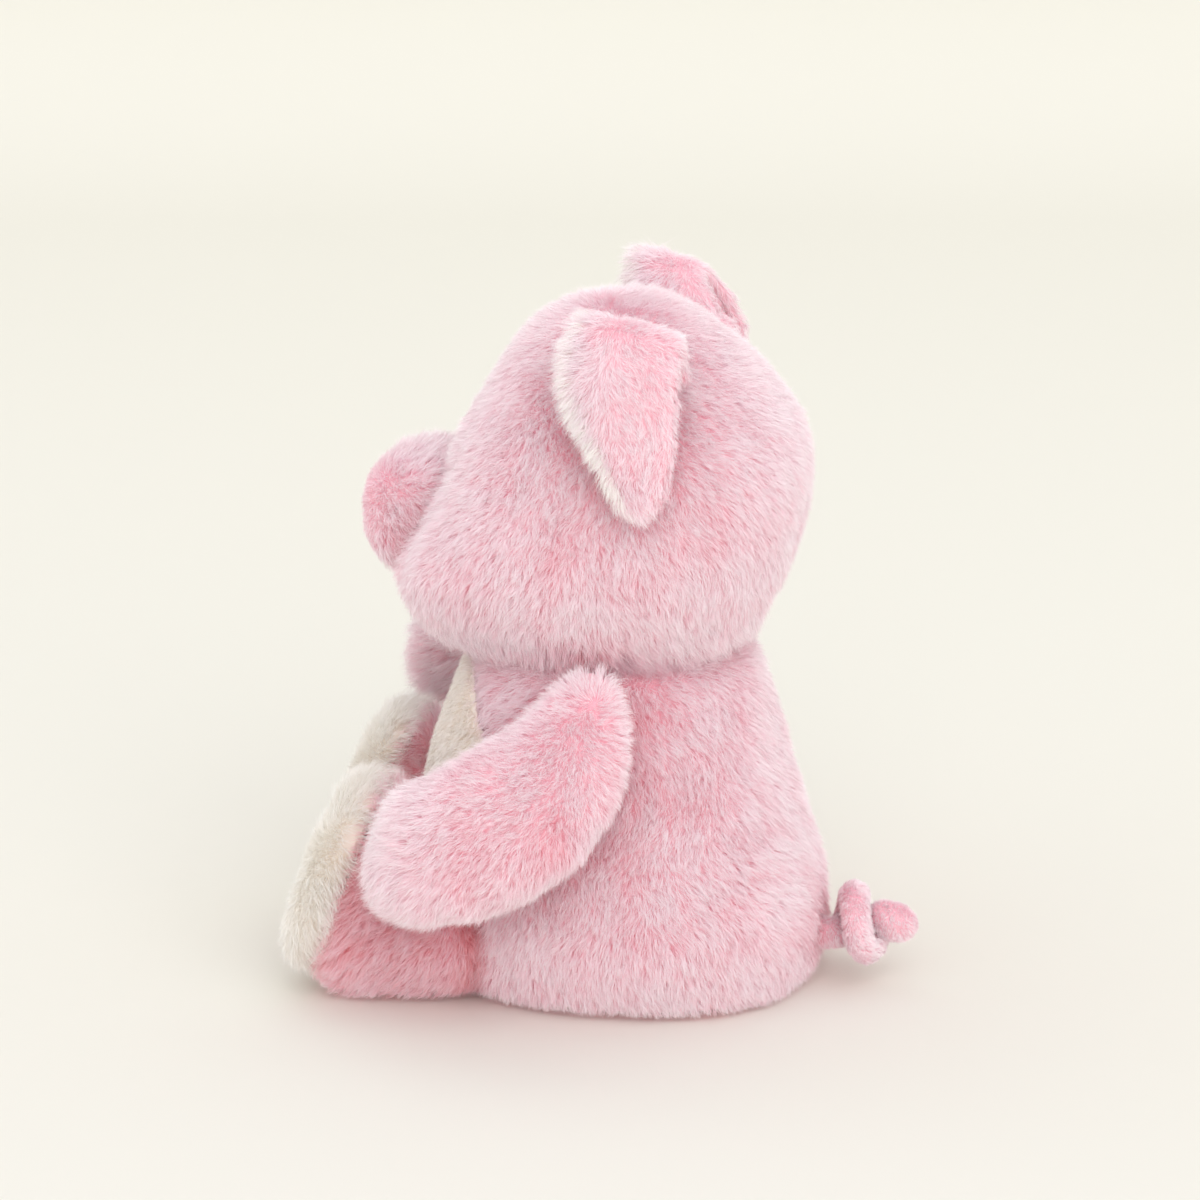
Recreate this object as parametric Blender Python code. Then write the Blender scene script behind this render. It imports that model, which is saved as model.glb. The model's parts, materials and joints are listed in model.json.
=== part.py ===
"""A seated plush pig: filled fur body, head, snout, arms and legs, with folded ears and a curled tail.

Metres, +Z up. The pig faces -Y, its left side is +X, and it sits on the floor at z = 0.
Every filled form is a loft of rings whose sizes come from the named dimensions below.
"""
import bisect
import math

import bmesh
import bpy
from mathutils import Matrix, Vector

MM = 0.001

# Shared clearances
SEAM_GAP = 0.3 * MM
OVERRUN = 4 * MM
FLOOR_CUT = 0.5 * MM

# Body
BODY_HEIGHT = 124 * MM
BODY_HALF_WIDTH = 73 * MM
BODY_FRONT = 72 * MM
BODY_BACK = 74.5 * MM
NECK_LEDGE = 9 * MM
NECK_DOME_HEIGHT = 7 * MM

# Belly panel, let into the front of the body
PANEL_THICKNESS = 1.6 * MM
PANEL_HALF_WIDTH = 53 * MM
PANEL_BOTTOM = 17 * MM
PANEL_TOP_MARGIN = 5 * MM
PANEL_HIP_CLEARANCE = 3 * MM

# Seat gusset and the weighted pouch above it
SEAT_THICKNESS = 3 * MM
SEAT_MARGIN = 7 * MM
PELLET_HALF_WIDTH = 34 * MM
PELLET_HALF_DEPTH = 36 * MM
PELLET_HEIGHT = 20 * MM

# Head
HEAD_HEIGHT = 128 * MM
HEAD_HALF_WIDTH = 69 * MM
HEAD_FRONT = 83 * MM
HEAD_BACK = 65 * MM

# Snout
SNOUT_HALF_WIDTH = 29 * MM
SNOUT_HALF_HEIGHT = 23.6 * MM
SNOUT_REACH = 23.5 * MM
SNOUT_ROOT = 15 * MM
SNOUT_HEIGHT_SHARE = 0.352

# Stitched nostrils
NOSTRIL_HALF_WIDTH = 2.6 * MM
NOSTRIL_HALF_HEIGHT = 4.6 * MM
NOSTRIL_THICKNESS = 2 * MM
NOSTRIL_SPACING = 17 * MM
NOSTRIL_SUNK_SHARE = 0.45
# Size across the nostril, then height through it
NOSTRIL_SHARES = ((0.6, -0.42), (1, 0), (0.6, 0.42))

# Safety eyes and their washers
EYE_RADIUS = 4.75 * MM
EYE_DOME = 3.6 * MM
EYE_SPACING = 34 * MM
EYE_HEIGHT_SHARE = 0.6
EYE_SEAT_DEPTH = 2.2 * MM
EYE_DOME_ANGLES = (0, math.radians(25), math.radians(50), math.radians(72))
SHANK_RADIUS = 1.6 * MM
SHANK_LENGTH = 9 * MM
WASHER_RADIUS = 6 * MM
WASHER_THICKNESS = 1.6 * MM
WASHER_DEPTH = 4 * MM

# Ears
EAR_LEFT_RISE = 15 * MM
EAR_RIGHT_RISE = 16 * MM
EAR_LEFT_FOLD_SHARE = -0.3
EAR_RIGHT_FOLD_SHARE = 1
EAR_RIGHT_LEAD = 3 * MM
EAR_OVERHANG = 32 * MM
EAR_DROP = 46 * MM
EAR_HALF_WIDTH = 21.5 * MM
EAR_HALF_THICKNESS = 4.2 * MM
EAR_SEAT_HEIGHT_SHARE = 0.845
EAR_SEAT_SETBACK = 12 * MM
EAR_SLOPE = math.radians(10)
EAR_ROOT_RADIUS = 4.6 * MM
EAR_ROOT_HALF_LENGTH = 14 * MM
EAR_ROOT_STANDOFF = 1.2 * MM
EAR_ROOT_ANGLES = (math.radians(-60), math.radians(-30), 0)
LINING_HALF_THICKNESS = 0.8 * MM
LINING_SUNK = 0.9 * MM
LINING_MARGIN = 4 * MM

# Arms, each on its flat shoulder seam
SHOULDER_TILT = math.radians(20)
SHOULDER_DROP = 9.5 * MM
SHOULDER_SETBACK = -1 * MM
SHOULDER_ROOT_RADIUS = 10 * MM
SHOULDER_ROOT_DEPTH = 8 * MM
SHOULDER_ROOT_OVERLAP = 4 * MM
ARM_REACH = 104 * MM
ARM_HALF_WIDTH = 27 * MM
ARM_HALF_THICKNESS = 18.5 * MM
ARM_SEAT_GAP = 0.4 * MM
ARM_STEPS = 40
ARM_LEFT_HEADINGS = (math.radians(4), math.radians(101))
ARM_RIGHT_HEADINGS = (math.radians(65), math.radians(81))

# Legs and feet
HIP_INSET = 29 * MM
LEG_LEFT_LENGTH = 31 * MM
LEG_RIGHT_LENGTH = 42 * MM
HIP_RADIUS = 26 * MM
HIP_LIFT = 1 * MM
FOOT_HALF_WIDTH = 28 * MM
FOOT_HALF_HEIGHT = 37 * MM
FOOT_LEAN = math.radians(22)
FOOT_SEAM_LIFT = 9.5 * MM
SOLE_DEPTH = 17 * MM
LEG_LEFT_SPLAY = math.radians(6)
LEG_RIGHT_SPLAY = math.radians(-1)
LEG_SWINGS = (math.radians(-3), math.radians(9))
LEG_CLEARANCE = 0.6 * MM

# Tail
TAIL_RADIUS = 5.3 * MM
TAIL_TIP_RADIUS = 7 * MM
TAIL_ROOT_HEIGHT = 17.5 * MM
TAIL_ROOT_RADIUS = 6 * MM
TAIL_CURL_RADIUS = 10.4 * MM
TAIL_CURL_RISE = 5.2 * MM
TAIL_LEAD = 7 * MM
TAIL_PITCH = 12 * MM
TAIL_TIP_LENGTH = 6 * MM
TAIL_TURNS = 1.25
TAIL_TIP_FALL_SHARE = 0.35
TAIL_CURL_POINTS = 13
TAIL_CURL_START = math.radians(207)
TAIL_LEAD_SHARES = (0.45, 0.8)
TAIL_TIP_SHARES = (0.4, 0.75, 1.0)
TAIL_ROOT_ANGLES = (math.radians(-65), math.radians(-35), 0)
TAIL_END_ANGLES = (math.radians(35), math.radians(65))
# Place along the tail, then how far it has swelled to its tip's size
TAIL_SWELL_SHARES = ((0, 0), (0.72, 0), (0.92, 1), (1, 1))
# Place along the curl, then how far it has opened
TAIL_OPENING_SHARES = ((0, 0.5), (0.25, 0.9), (0.45, 1.0), (0.7, 0.95), (0.85, 0.6), (1, 0.3))

# Each row of a form is place, front, back and half-width, as shares of that form's sizes, then squareness
BODY_SHARES = (
    (0.000, 0.850, 0.840, 0.710, 2.3),
    (0.022, 0.925, 0.920, 0.815, 2.3),
    (0.080, 0.975, 0.955, 0.925, 2.3),
    (0.240, 0.985, 0.975, 1.000, 2.3),
    (0.410, 1.000, 0.905, 0.955, 2.3),
    (0.580, 0.995, 0.825, 0.885, 2.3),
    (0.700, 0.950, 0.763, 0.825, 2.3),
    (0.835, 0.870, 0.700, 0.757, 2.3),
    (0.925, 0.810, 0.655, 0.705, 2.2),
    (0.980, 0.750, 0.600, 0.660, 2.1),
    (1.000, 0.680, 0.540, 0.600, 2.1),
)
HEAD_SHARES = (
    (0.000, 0.640, 0.590, 0.590, 2.1),
    (0.016, 0.750, 0.640, 0.650, 2.2),
    (0.055, 0.865, 0.705, 0.720, 2.3),
    (0.120, 0.970, 0.790, 0.855, 2.4),
    (0.235, 0.985, 0.895, 0.975, 2.5),
    (0.350, 0.880, 0.960, 1.000, 2.5),
    (0.490, 0.762, 1.000, 0.957, 2.5),
    (0.630, 0.679, 0.945, 0.870, 2.4),
    (0.770, 0.571, 0.765, 0.725, 2.3),
    (0.870, 0.470, 0.555, 0.580, 2.2),
    (0.940, 0.361, 0.375, 0.440, 2.1),
    (0.983, 0.199, 0.230, 0.240, 2.0),
)
# Place along the snout from its root to its tip, then its size
SNOUT_SHARES = ((0, 0.92), (0.3, 1.0), (0.52, 0.975), (0.71, 0.89), (0.86, 0.72), (0.955, 0.46))
# Height up the panel, then its half-width
PANEL_SHARES = (
    (0.00, 0.12), (0.06, 0.19), (0.16, 0.24), (0.30, 0.34), (0.42, 0.60), (0.52, 0.86), (0.62, 1.00),
    (0.74, 0.96), (0.86, 0.755), (0.94, 0.58), (0.98, 0.42), (1.00, 0.22),
)
# Height up the pouch, then its size
PELLET_SHARES = ((0, 0.80), (0.08, 0.95), (0.35, 1.0), (0.65, 0.90), (0.88, 0.62), (0.97, 0.32))
# Place along the arm from the shoulder pivot, then half-width and half-thickness
ARM_SHARES = (
    (-0.118, 0.20, 0.14), (-0.09, 0.37, 0.26), (-0.04, 0.51, 0.36), (0.03, 0.62, 0.46), (0.13, 0.78, 0.60),
    (0.25, 0.93, 0.76), (0.39, 1.02, 0.92), (0.54, 1.02, 1.00), (0.69, 0.98, 1.00), (0.81, 0.90, 0.93),
    (0.90, 0.76, 0.78), (0.96, 0.52, 0.53), (0.99, 0.26, 0.28),
)
ARM_END_SHARES = (-0.128, 1.0)
# Place from the hip to the foot seam, then the heights of the underside and the top, and the half-width
LEG_SHARES = ((0.30, 0.0, 0.775, 0.97), (0.60, 0.0, 0.885, 1.00), (0.82, 0.03, 0.965, 1.01))
# Depth of the sole from its seam, then its size
SOLE_SHARES = ((0, 0.975), (0.10, 1.0), (0.38, 0.99), (0.62, 0.91), (0.81, 0.76), (0.94, 0.50))
# Outward and upward places along the ear, how far a fold trims one edge, half-width and half-thickness
EAR_SHARES = (
    (0.00, 0.00, 0.00, 0.62, 0.80), (0.08, 0.26, 0.10, 0.84, 0.90), (0.19, 0.58, 0.34, 0.92, 0.96),
    (0.33, 0.87, 0.56, 0.93, 1.00), (0.50, 1.00, 0.60, 0.94, 1.00), (0.65, 0.88, 0.50, 0.96, 1.00),
    (0.76, 0.46, 0.22, 0.98, 1.00), (0.83, -0.06, 0.00, 0.94, 1.00), (0.88, -0.32, -0.04, 0.82, 0.98),
    (0.92, -0.55, -0.08, 0.66, 0.92), (0.96, -0.76, -0.06, 0.47, 0.84), (0.985, -0.93, 0.00, 0.27, 0.66),
)
EAR_TIP_SHARE = (1.0, -1.0, 0.0, 0.0, 0.0)
LINING_FIRST_ROW = 2
LINING_LAST_ROW = 10

ROUND_POWER = 2.0
PAD_POWER = 2.4
BODY_SIDES = 26
LIMB_SIDES = 18
EAR_SIDES = 12
SMALL_SIDES = 12
TUBE_SIDES = 8
DOME_RINGS = 3
HIP_RINGS = 5
HIP_SIDES = 32
PROBE = 0.1 * MM
SHARP_ANGLE = math.radians(50)

LEFT, RIGHT = 1, -1
SIDE_NAMES = {LEFT: "left", RIGHT: "right"}
UP = Vector((0, 0, 1))
AHEAD = Vector((0, -1, 0))
ACROSS = Vector((1, 0, 0))


def clear_scene():
    for thing in list(bpy.data.objects):
        bpy.data.objects.remove(thing, do_unlink=True)


def material(name, colour, roughness, metallic=0.0):
    made = bpy.data.materials.new(name)
    made.use_nodes = True
    surface = made.node_tree.nodes["Principled BSDF"]
    surface.inputs["Base Color"].default_value = (*colour, 1.0)
    surface.inputs["Roughness"].default_value = roughness
    surface.inputs["Metallic"].default_value = metallic
    return made


def add_object(name, mesh, surface):
    if surface:
        mesh.materials.append(surface)
    mesh.shade_smooth()
    mesh.set_sharp_from_angle(angle=SHARP_ANGLE)
    made = bpy.data.objects.new(name, mesh)
    bpy.context.scene.collection.objects.link(made)
    return made


def add_cutter(name, mesh):
    made = add_object(name, mesh, None)
    made.hide_render = True
    made.display_type = "WIRE"
    return made


def add_boolean(target, cutter, operation="DIFFERENCE"):
    step = target.modifiers.new(cutter.name, "BOOLEAN")
    step.operation = operation
    step.object = cutter
    return step


def ring(centre, across, along, half_across, half_along, power, sides):
    """A superellipse round a centre. The larger its power, the squarer it is."""
    points = []
    for index in range(sides):
        angle = 2 * math.pi * index / sides
        x, y = math.cos(angle), math.sin(angle)
        x = math.copysign(abs(x) ** (2 / power), x) * half_across
        y = math.copysign(abs(y) ** (2 / power), y) * half_along
        points.append(centre + across * x + along * y)
    return points


def loft(name, rings, start_pole=None, end_pole=None):
    """Skins rings of points into one closed mesh, with a flat end or a point at each end."""
    made = bmesh.new()
    loops = [[made.verts.new(point) for point in points] for points in rings]
    for low, high in zip(loops, loops[1:]):
        for index in range(len(low)):
            after = (index + 1) % len(low)
            made.faces.new((low[index], low[after], high[after], high[index]))
    for loop, pole in ((loops[0], start_pole), (loops[-1], end_pole)):
        if pole is None:
            made.faces.new(loop)
            continue
        tip = made.verts.new(pole)
        for index in range(len(loop)):
            made.faces.new((loop[index], loop[(index + 1) % len(loop)], tip))
    bmesh.ops.recalc_face_normals(made, faces=made.faces)
    mesh = bpy.data.meshes.new(name)
    made.to_mesh(mesh)
    made.free()
    return mesh


def grown(name, source, by):
    """A copy of a closed mesh with every face moved outwards by a distance."""
    made = bmesh.new()
    made.from_mesh(source)
    made.normal_update()
    moves = [vertex.normal * by * vertex.calc_shell_factor() for vertex in made.verts]
    for vertex, move in zip(made.verts, moves):
        vertex.co += move
    mesh = bpy.data.meshes.new(name)
    made.to_mesh(mesh)
    made.free()
    return mesh


def ball(name, centre, radius, sides=LIMB_SIDES):
    """A faceted ball whose flats lie at the radius, so that a round of that radius turns in it."""
    made = bmesh.new()
    corner_radius = radius / math.cos(math.pi / sides) ** 2
    bmesh.ops.create_uvsphere(made, u_segments=sides, v_segments=sides // 2, radius=corner_radius)
    bmesh.ops.translate(made, verts=made.verts, vec=centre)
    mesh = bpy.data.meshes.new(name)
    made.to_mesh(mesh)
    made.free()
    return mesh


def turned(name, base, axis, profile, sides=SMALL_SIDES):
    """Turns (radius, height) pairs about an axis. A radius of zero at an end is a point."""
    axis = axis.normalized()
    across = axis.orthogonal().normalized()
    along = axis.cross(across)
    poles = [base + axis * profile[end][1] if profile[end][0] == 0 else None for end in (0, -1)]
    rings = [
        ring(base + axis * height, across, along, radius, radius, ROUND_POWER, sides)
        for radius, height in profile
        if radius > 0
    ]
    return loft(name, rings, *poles)


def read_rows(rows, place):
    """Reads each column of a table of shares at one place, on a smooth curve through its rows."""
    places = [row[0] for row in rows]
    low = min(max(bisect.bisect_right(places, place) - 1, 0), len(rows) - 2)
    high = low + 1
    span = places[high] - places[low]
    part = (place - places[low]) / span
    before, after = max(low - 1, 0), min(high + 1, len(rows) - 1)
    values = []
    for column in range(1, len(rows[0])):
        start, end = rows[low][column], rows[high][column]
        start_slope = (end - rows[before][column]) / (places[high] - places[before]) * span
        end_slope = (rows[after][column] - start) / (places[after] - places[low]) * span
        square, cube = part ** 2, part ** 3
        values.append(
            start * (2 * cube - 3 * square + 1)
            + start_slope * (cube - 2 * square + part)
            + end * (3 * square - 2 * cube)
            + end_slope * (cube - square)
        )
    return values


def ring_places(rows):
    """The rows' own places, with one more halfway between each two."""
    places = [row[0] for row in rows]
    halves = [(low + high) / 2 for low, high in zip(places, places[1:])]
    return sorted(places + halves)


class StackedForm:
    """A filled form made of level rings, which answers where its surface is."""

    def __init__(self, rows, base, height, front, back, half_width):
        self.rows, self.base, self.height = rows, base, height
        self.front, self.back, self.half_width = front, back, half_width

    def level(self, place):
        """The centre, half-depth, half-width and squareness of the ring at a share of the height."""
        front, back, width, power = read_rows(self.rows, place)
        reach_ahead, reach_back = front * self.front, back * self.back
        centre = Vector((0, (reach_back - reach_ahead) / 2, self.base + place * self.height))
        return centre, (reach_back + reach_ahead) / 2, width * self.half_width, power

    def place_of(self, z):
        return (z - self.base) / self.height

    def rings(self):
        made = []
        for place in ring_places(self.rows):
            centre, half_depth, half_width, power = self.level(place)
            made.append(ring(centre, ACROSS, -AHEAD, half_width, half_depth, power, BODY_SIDES))
        return made

    def front_at(self, x, z):
        """The point of the front surface at a sideways place and a height."""
        centre, half_depth, half_width, power = self.level(self.place_of(z))
        bulge = (1 - min(abs(x) / half_width, 1) ** power) ** (1 / power)
        return Vector((x, centre.y - half_depth * bulge, z))

    def side_at(self, y, z):
        """The point of the left surface at a fore-and-aft place and a height."""
        centre, half_depth, half_width, power = self.level(self.place_of(z))
        bulge = (1 - min(abs(y - centre.y) / half_depth, 1) ** power) ** (1 / power)
        return Vector((half_width * bulge, y, z))

    def front_normal(self, x, z):
        middle = self.front_at(x, z)
        sideways = self.front_at(x + PROBE, z) - middle
        upwards = self.front_at(x, z + PROBE) - middle
        return sideways.cross(upwards).normalized()

    def side_normal(self, y, z):
        middle = self.side_at(y, z)
        backwards = self.side_at(y + PROBE, z) - middle
        upwards = self.side_at(y, z + PROBE) - middle
        return backwards.cross(upwards).normalized()


BODY = StackedForm(BODY_SHARES, 0, BODY_HEIGHT, BODY_FRONT, BODY_BACK, BODY_HALF_WIDTH)
HEAD = StackedForm(
    HEAD_SHARES, BODY_HEIGHT + SEAM_GAP, HEAD_HEIGHT, HEAD_FRONT, HEAD_BACK, HEAD_HALF_WIDTH
)


def neck_dome(extra=0.0):
    """The radius, centre and (radius, height) steps of the round seat that the head turns on."""
    centre, half_depth, half_width, _ = BODY.level(1)
    radius = min(half_depth, half_width) - NECK_LEDGE + extra
    steps = []
    for index in range(DOME_RINGS + 1):
        angle = math.pi / 2 * index / (DOME_RINGS + 1)
        steps.append((radius * math.cos(angle), (NECK_DOME_HEIGHT + extra) * math.sin(angle)))
    return centre, steps


def body_mesh(name):
    """The torso's rings, closed by a flat ledge and the round neck seat."""
    centre, steps = neck_dome()
    rings = BODY.rings()
    for radius, height in steps:
        rings.append(ring(centre + UP * height, ACROSS, -AHEAD, radius, radius, ROUND_POWER, BODY_SIDES))
    return loft(name, rings, end_pole=centre + UP * NECK_DOME_HEIGHT)


def hip_centre(side):
    x = BODY_HALF_WIDTH - HIP_INSET
    z = HIP_RADIUS + HIP_LIFT
    return Vector((side * x, BODY.front_at(x, z).y, z))


def tail_root():
    """The pivot of the tail, on the body's back."""
    centre, half_depth, _, _ = BODY.level(BODY.place_of(TAIL_ROOT_HEIGHT))
    return Vector((0, centre.y + half_depth, TAIL_ROOT_HEIGHT))


def seat_outline(name, margin, low, high):
    """A flat oval that follows the edge of the body's base."""
    centre, half_depth, half_width, power = BODY.level(0)
    rings = [
        ring(
            centre + UP * z, ACROSS, -AHEAD, half_width - margin, half_depth - margin, power, BODY_SIDES
        )
        for z in (low, high)
    ]
    return loft(name, rings)


def pellet_form(name, by=0.0):
    """The pouch, flat underneath and domed on top, grown by a clearance."""
    base = BODY.level(0)[0] + UP * (SEAT_THICKNESS + 2 * SEAM_GAP - by)
    height = PELLET_HEIGHT + 2 * by
    rings = [
        ring(
            base + UP * (place * height), ACROSS, -AHEAD, share * PELLET_HALF_WIDTH + by,
            share * PELLET_HALF_DEPTH + by, ROUND_POWER, LIMB_SIDES,
        )
        for place, share in PELLET_SHARES
    ]
    return loft(name, rings, end_pole=base + UP * height)


def panel_prism(name, extra):
    """The outline of the belly panel, run through the front half of the body."""
    top = BODY_HEIGHT - PANEL_TOP_MARGIN
    outline = []
    for place, share in PANEL_SHARES:
        z = PANEL_BOTTOM + place * (top - PANEL_BOTTOM)
        outline.append((share * PANEL_HALF_WIDTH + extra, z))
    outline[0] = (outline[0][0], outline[0][1] - extra)
    outline[-1] = (outline[-1][0], outline[-1][1] + extra)
    points = [(x, z) for x, z in outline] + [(-x, z) for x, z in reversed(outline)]
    rings = [[Vector((x, y, z)) for x, z in points] for y in (-BODY_FRONT - OVERRUN, 0)]
    return loft(name, rings)


def make_body(pink, cream, canvas):
    """The torso with its sockets, and the panel, gusset and pouch that it holds."""
    whole = body_mesh("body")
    body = add_object("body", whole, pink)

    core_mesh = grown("panel_recess_core", whole, -PANEL_THICKNESS - SEAM_GAP)
    recess_core = add_cutter("panel_recess_core", core_mesh)
    recess = add_cutter("panel_recess", panel_prism("panel_recess", SEAM_GAP))
    add_boolean(recess, recess_core)
    add_boolean(body, recess)

    panel = add_object("belly_panel", body_mesh("belly_panel"), cream)
    add_boolean(panel, add_cutter("panel_outline", panel_prism("panel_outline", 0)), "INTERSECT")
    add_boolean(panel, add_cutter("panel_core", grown("panel_core", whole, -PANEL_THICKNESS)))

    for side in (LEFT, RIGHT):
        label = SIDE_NAMES[side]
        socket = ball(f"hip_socket_{label}", hip_centre(side), HIP_RADIUS + SEAM_GAP, HIP_SIDES)
        add_boolean(body, add_cutter(f"hip_socket_{label}", socket))
        clearance = ball(f"hip_clearance_{label}", hip_centre(side), HIP_RADIUS + PANEL_HIP_CLEARANCE)
        add_boolean(panel, add_cutter(f"hip_clearance_{label}", clearance))

    socket = ball("tail_socket", tail_root(), TAIL_ROOT_RADIUS + SEAM_GAP)
    add_boolean(body, add_cutter("tail_socket", socket))

    seat_recess = seat_outline("seat_recess", SEAT_MARGIN - SEAM_GAP, -OVERRUN, SEAT_THICKNESS + SEAM_GAP)
    add_boolean(body, add_cutter("seat_recess", seat_recess))
    add_object("seat_panel", seat_outline("seat_panel", SEAT_MARGIN, 0, SEAT_THICKNESS), pink)

    pouch = add_cutter("pellet_pocket", pellet_form("pellet_pocket", SEAM_GAP))
    base = BODY.level(0)[0]
    mouth_height = SEAT_THICKNESS + PELLET_SHARES[2][0] * PELLET_HEIGHT
    mouth_rings = [
        ring(
            base + UP * z, ACROSS, -AHEAD, PELLET_HALF_WIDTH + SEAM_GAP, PELLET_HALF_DEPTH + SEAM_GAP,
            ROUND_POWER, LIMB_SIDES,
        )
        for z in (-OVERRUN, mouth_height)
    ]
    mouth = add_cutter("pellet_mouth", loft("pellet_mouth", mouth_rings))
    add_boolean(body, mouth)
    add_boolean(body, pouch)
    add_object("pellet_bag", pellet_form("pellet_bag"), canvas)


def eye_seat(side):
    """The middle of the eye on the face, and the way it looks."""
    x = side * EYE_SPACING / 2
    z = HEAD.base + EYE_HEIGHT_SHARE * HEAD_HEIGHT
    return HEAD.front_at(x, z), HEAD.front_normal(x, z)


def make_eyes(head, black, white):
    """Domed eyes on shanks, with a locking washer behind the face, and the holes they need."""
    for side in (LEFT, RIGHT):
        label = SIDE_NAMES[side]
        surface, outwards = eye_seat(side)
        base = surface - outwards * EYE_SEAT_DEPTH
        dome = [(EYE_RADIUS * math.cos(angle), EYE_DOME * math.sin(angle)) for angle in EYE_DOME_ANGLES]
        profile = [(SHANK_RADIUS, -SHANK_LENGTH), (SHANK_RADIUS, 0)] + dome + [(0, EYE_DOME)]
        add_object(f"eye_{label}", turned(f"eye_{label}", base, outwards, profile), black)

        seat_profile = [
            (SHANK_RADIUS + SEAM_GAP, -SHANK_LENGTH - SEAM_GAP),
            (SHANK_RADIUS + SEAM_GAP, -SEAM_GAP),
            (EYE_RADIUS + SEAM_GAP, -SEAM_GAP),
            (EYE_RADIUS + SEAM_GAP, EYE_SEAT_DEPTH + OVERRUN),
        ]
        seat = turned(f"eye_hole_{label}", base, outwards, seat_profile)
        add_boolean(head, add_cutter(f"eye_hole_{label}", seat))

        disc = washer_disc(f"eye_washer_{label}", base, outwards, WASHER_RADIUS, 0)
        bore = washer_disc(f"washer_bore_{label}", base, outwards, SHANK_RADIUS + SEAM_GAP, OVERRUN)
        pocket_radius = WASHER_RADIUS + SEAM_GAP
        pocket = washer_disc(f"washer_pocket_{label}", base, outwards, pocket_radius, SEAM_GAP)
        washer = add_object(f"eye_washer_{label}", disc, white)
        add_boolean(washer, add_cutter(f"washer_bore_{label}", bore))
        add_boolean(head, add_cutter(f"washer_pocket_{label}", pocket))


def washer_disc(name, base, outwards, radius, extra):
    """A disc where the eye's washer lies, with something extra on both of its faces."""
    low, high = -WASHER_DEPTH - WASHER_THICKNESS - extra, -WASHER_DEPTH + extra
    return turned(name, base, outwards, [(radius, low), (radius, high)])


def ear_axis():
    """The way the left ear's root seam runs, from front to back."""
    return Vector((0, math.cos(EAR_SLOPE), -math.sin(EAR_SLOPE)))


def ear_pivot():
    """The middle of the left ear's root seam, just clear of the head."""
    z = HEAD.base + EAR_SEAT_HEIGHT_SHARE * HEAD_HEIGHT
    return HEAD.side_at(EAR_SEAT_SETBACK, z) + HEAD.side_normal(EAR_SEAT_SETBACK, z) * EAR_ROOT_STANDOFF


def ear_line(side):
    """The middle points of the ear's rows and of its tip, with the half-width of each row."""
    rise, fold, lead = EAR_LEFT_RISE, EAR_LEFT_FOLD_SHARE, 0
    if side == RIGHT:
        rise, fold, lead = EAR_RIGHT_RISE, EAR_RIGHT_FOLD_SHARE, EAR_RIGHT_LEAD
    points, half_widths = [], []
    for out_share, up_share, trim_share, width_share, _ in EAR_SHARES + (EAR_TIP_SHARE,):
        trim = fold * trim_share * EAR_HALF_WIDTH / 2
        height = up_share * (rise if up_share > 0 else EAR_DROP)
        point = ear_pivot() + ACROSS * (out_share * EAR_OVERHANG) + UP * height
        points.append(point - ear_axis() * (lead + trim))
        half_widths.append(width_share * EAR_HALF_WIDTH - abs(trim))
    return points, half_widths


def ear_fur(name, side):
    """The folded fur strip of an ear, shaped on the left."""
    axis = ear_axis()
    line, half_widths = ear_line(side)
    rings = []
    for index, row in enumerate(EAR_SHARES):
        inwards = axis.cross(line[index + 1] - line[max(index - 1, 0)]).normalized()
        half_thickness = EAR_HALF_THICKNESS * row[-1]
        rings.append(
            ring(line[index], axis, inwards, half_widths[index], half_thickness, PAD_POWER, EAR_SIDES)
        )
    return loft(name, rings, end_pole=line[-1])


def ear_lining(name, side, grow=0.0):
    """The smooth strip on the side of the ear that faces the head, grown by a clearance."""
    axis = ear_axis()
    inset = EAR_HALF_THICKNESS + LINING_HALF_THICKNESS - LINING_SUNK
    line, half_widths = ear_line(side)
    rings = []
    for index in range(LINING_FIRST_ROW, LINING_LAST_ROW + 1):
        run = (line[index + 1] - line[index - 1]).normalized()
        inwards = axis.cross(run).normalized()
        centre = line[index] + inwards * inset
        if index == LINING_FIRST_ROW:
            centre -= run * grow
        if index == LINING_LAST_ROW:
            centre += run * grow
        half_width = half_widths[index] - LINING_MARGIN + grow
        half_thickness = LINING_HALF_THICKNESS + grow
        rings.append(ring(centre, axis, inwards, half_width, half_thickness, PAD_POWER, EAR_SIDES))
    return loft(name, rings)


def root_bead(name, grow=0.0):
    """The round-ended seam roll that the ear turns on."""
    axis = ear_axis()
    radius, half_length = EAR_ROOT_RADIUS + grow, EAR_ROOT_HALF_LENGTH
    profile = [(0, -half_length - radius)]
    for angle in EAR_ROOT_ANGLES:
        profile.append((radius * math.cos(angle), -half_length + radius * math.sin(angle)))
    profile += [(r, -z) for r, z in reversed(profile)]
    return turned(name, ear_pivot(), axis, profile)


def mirrored(name, source):
    """The same mesh on the pig's other side."""
    made = bmesh.new()
    made.from_mesh(source)
    bmesh.ops.scale(made, vec=(-1, 1, 1), verts=made.verts)
    bmesh.ops.reverse_faces(made, faces=made.faces)
    mesh = bpy.data.meshes.new(name)
    made.to_mesh(mesh)
    made.free()
    return mesh


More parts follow.
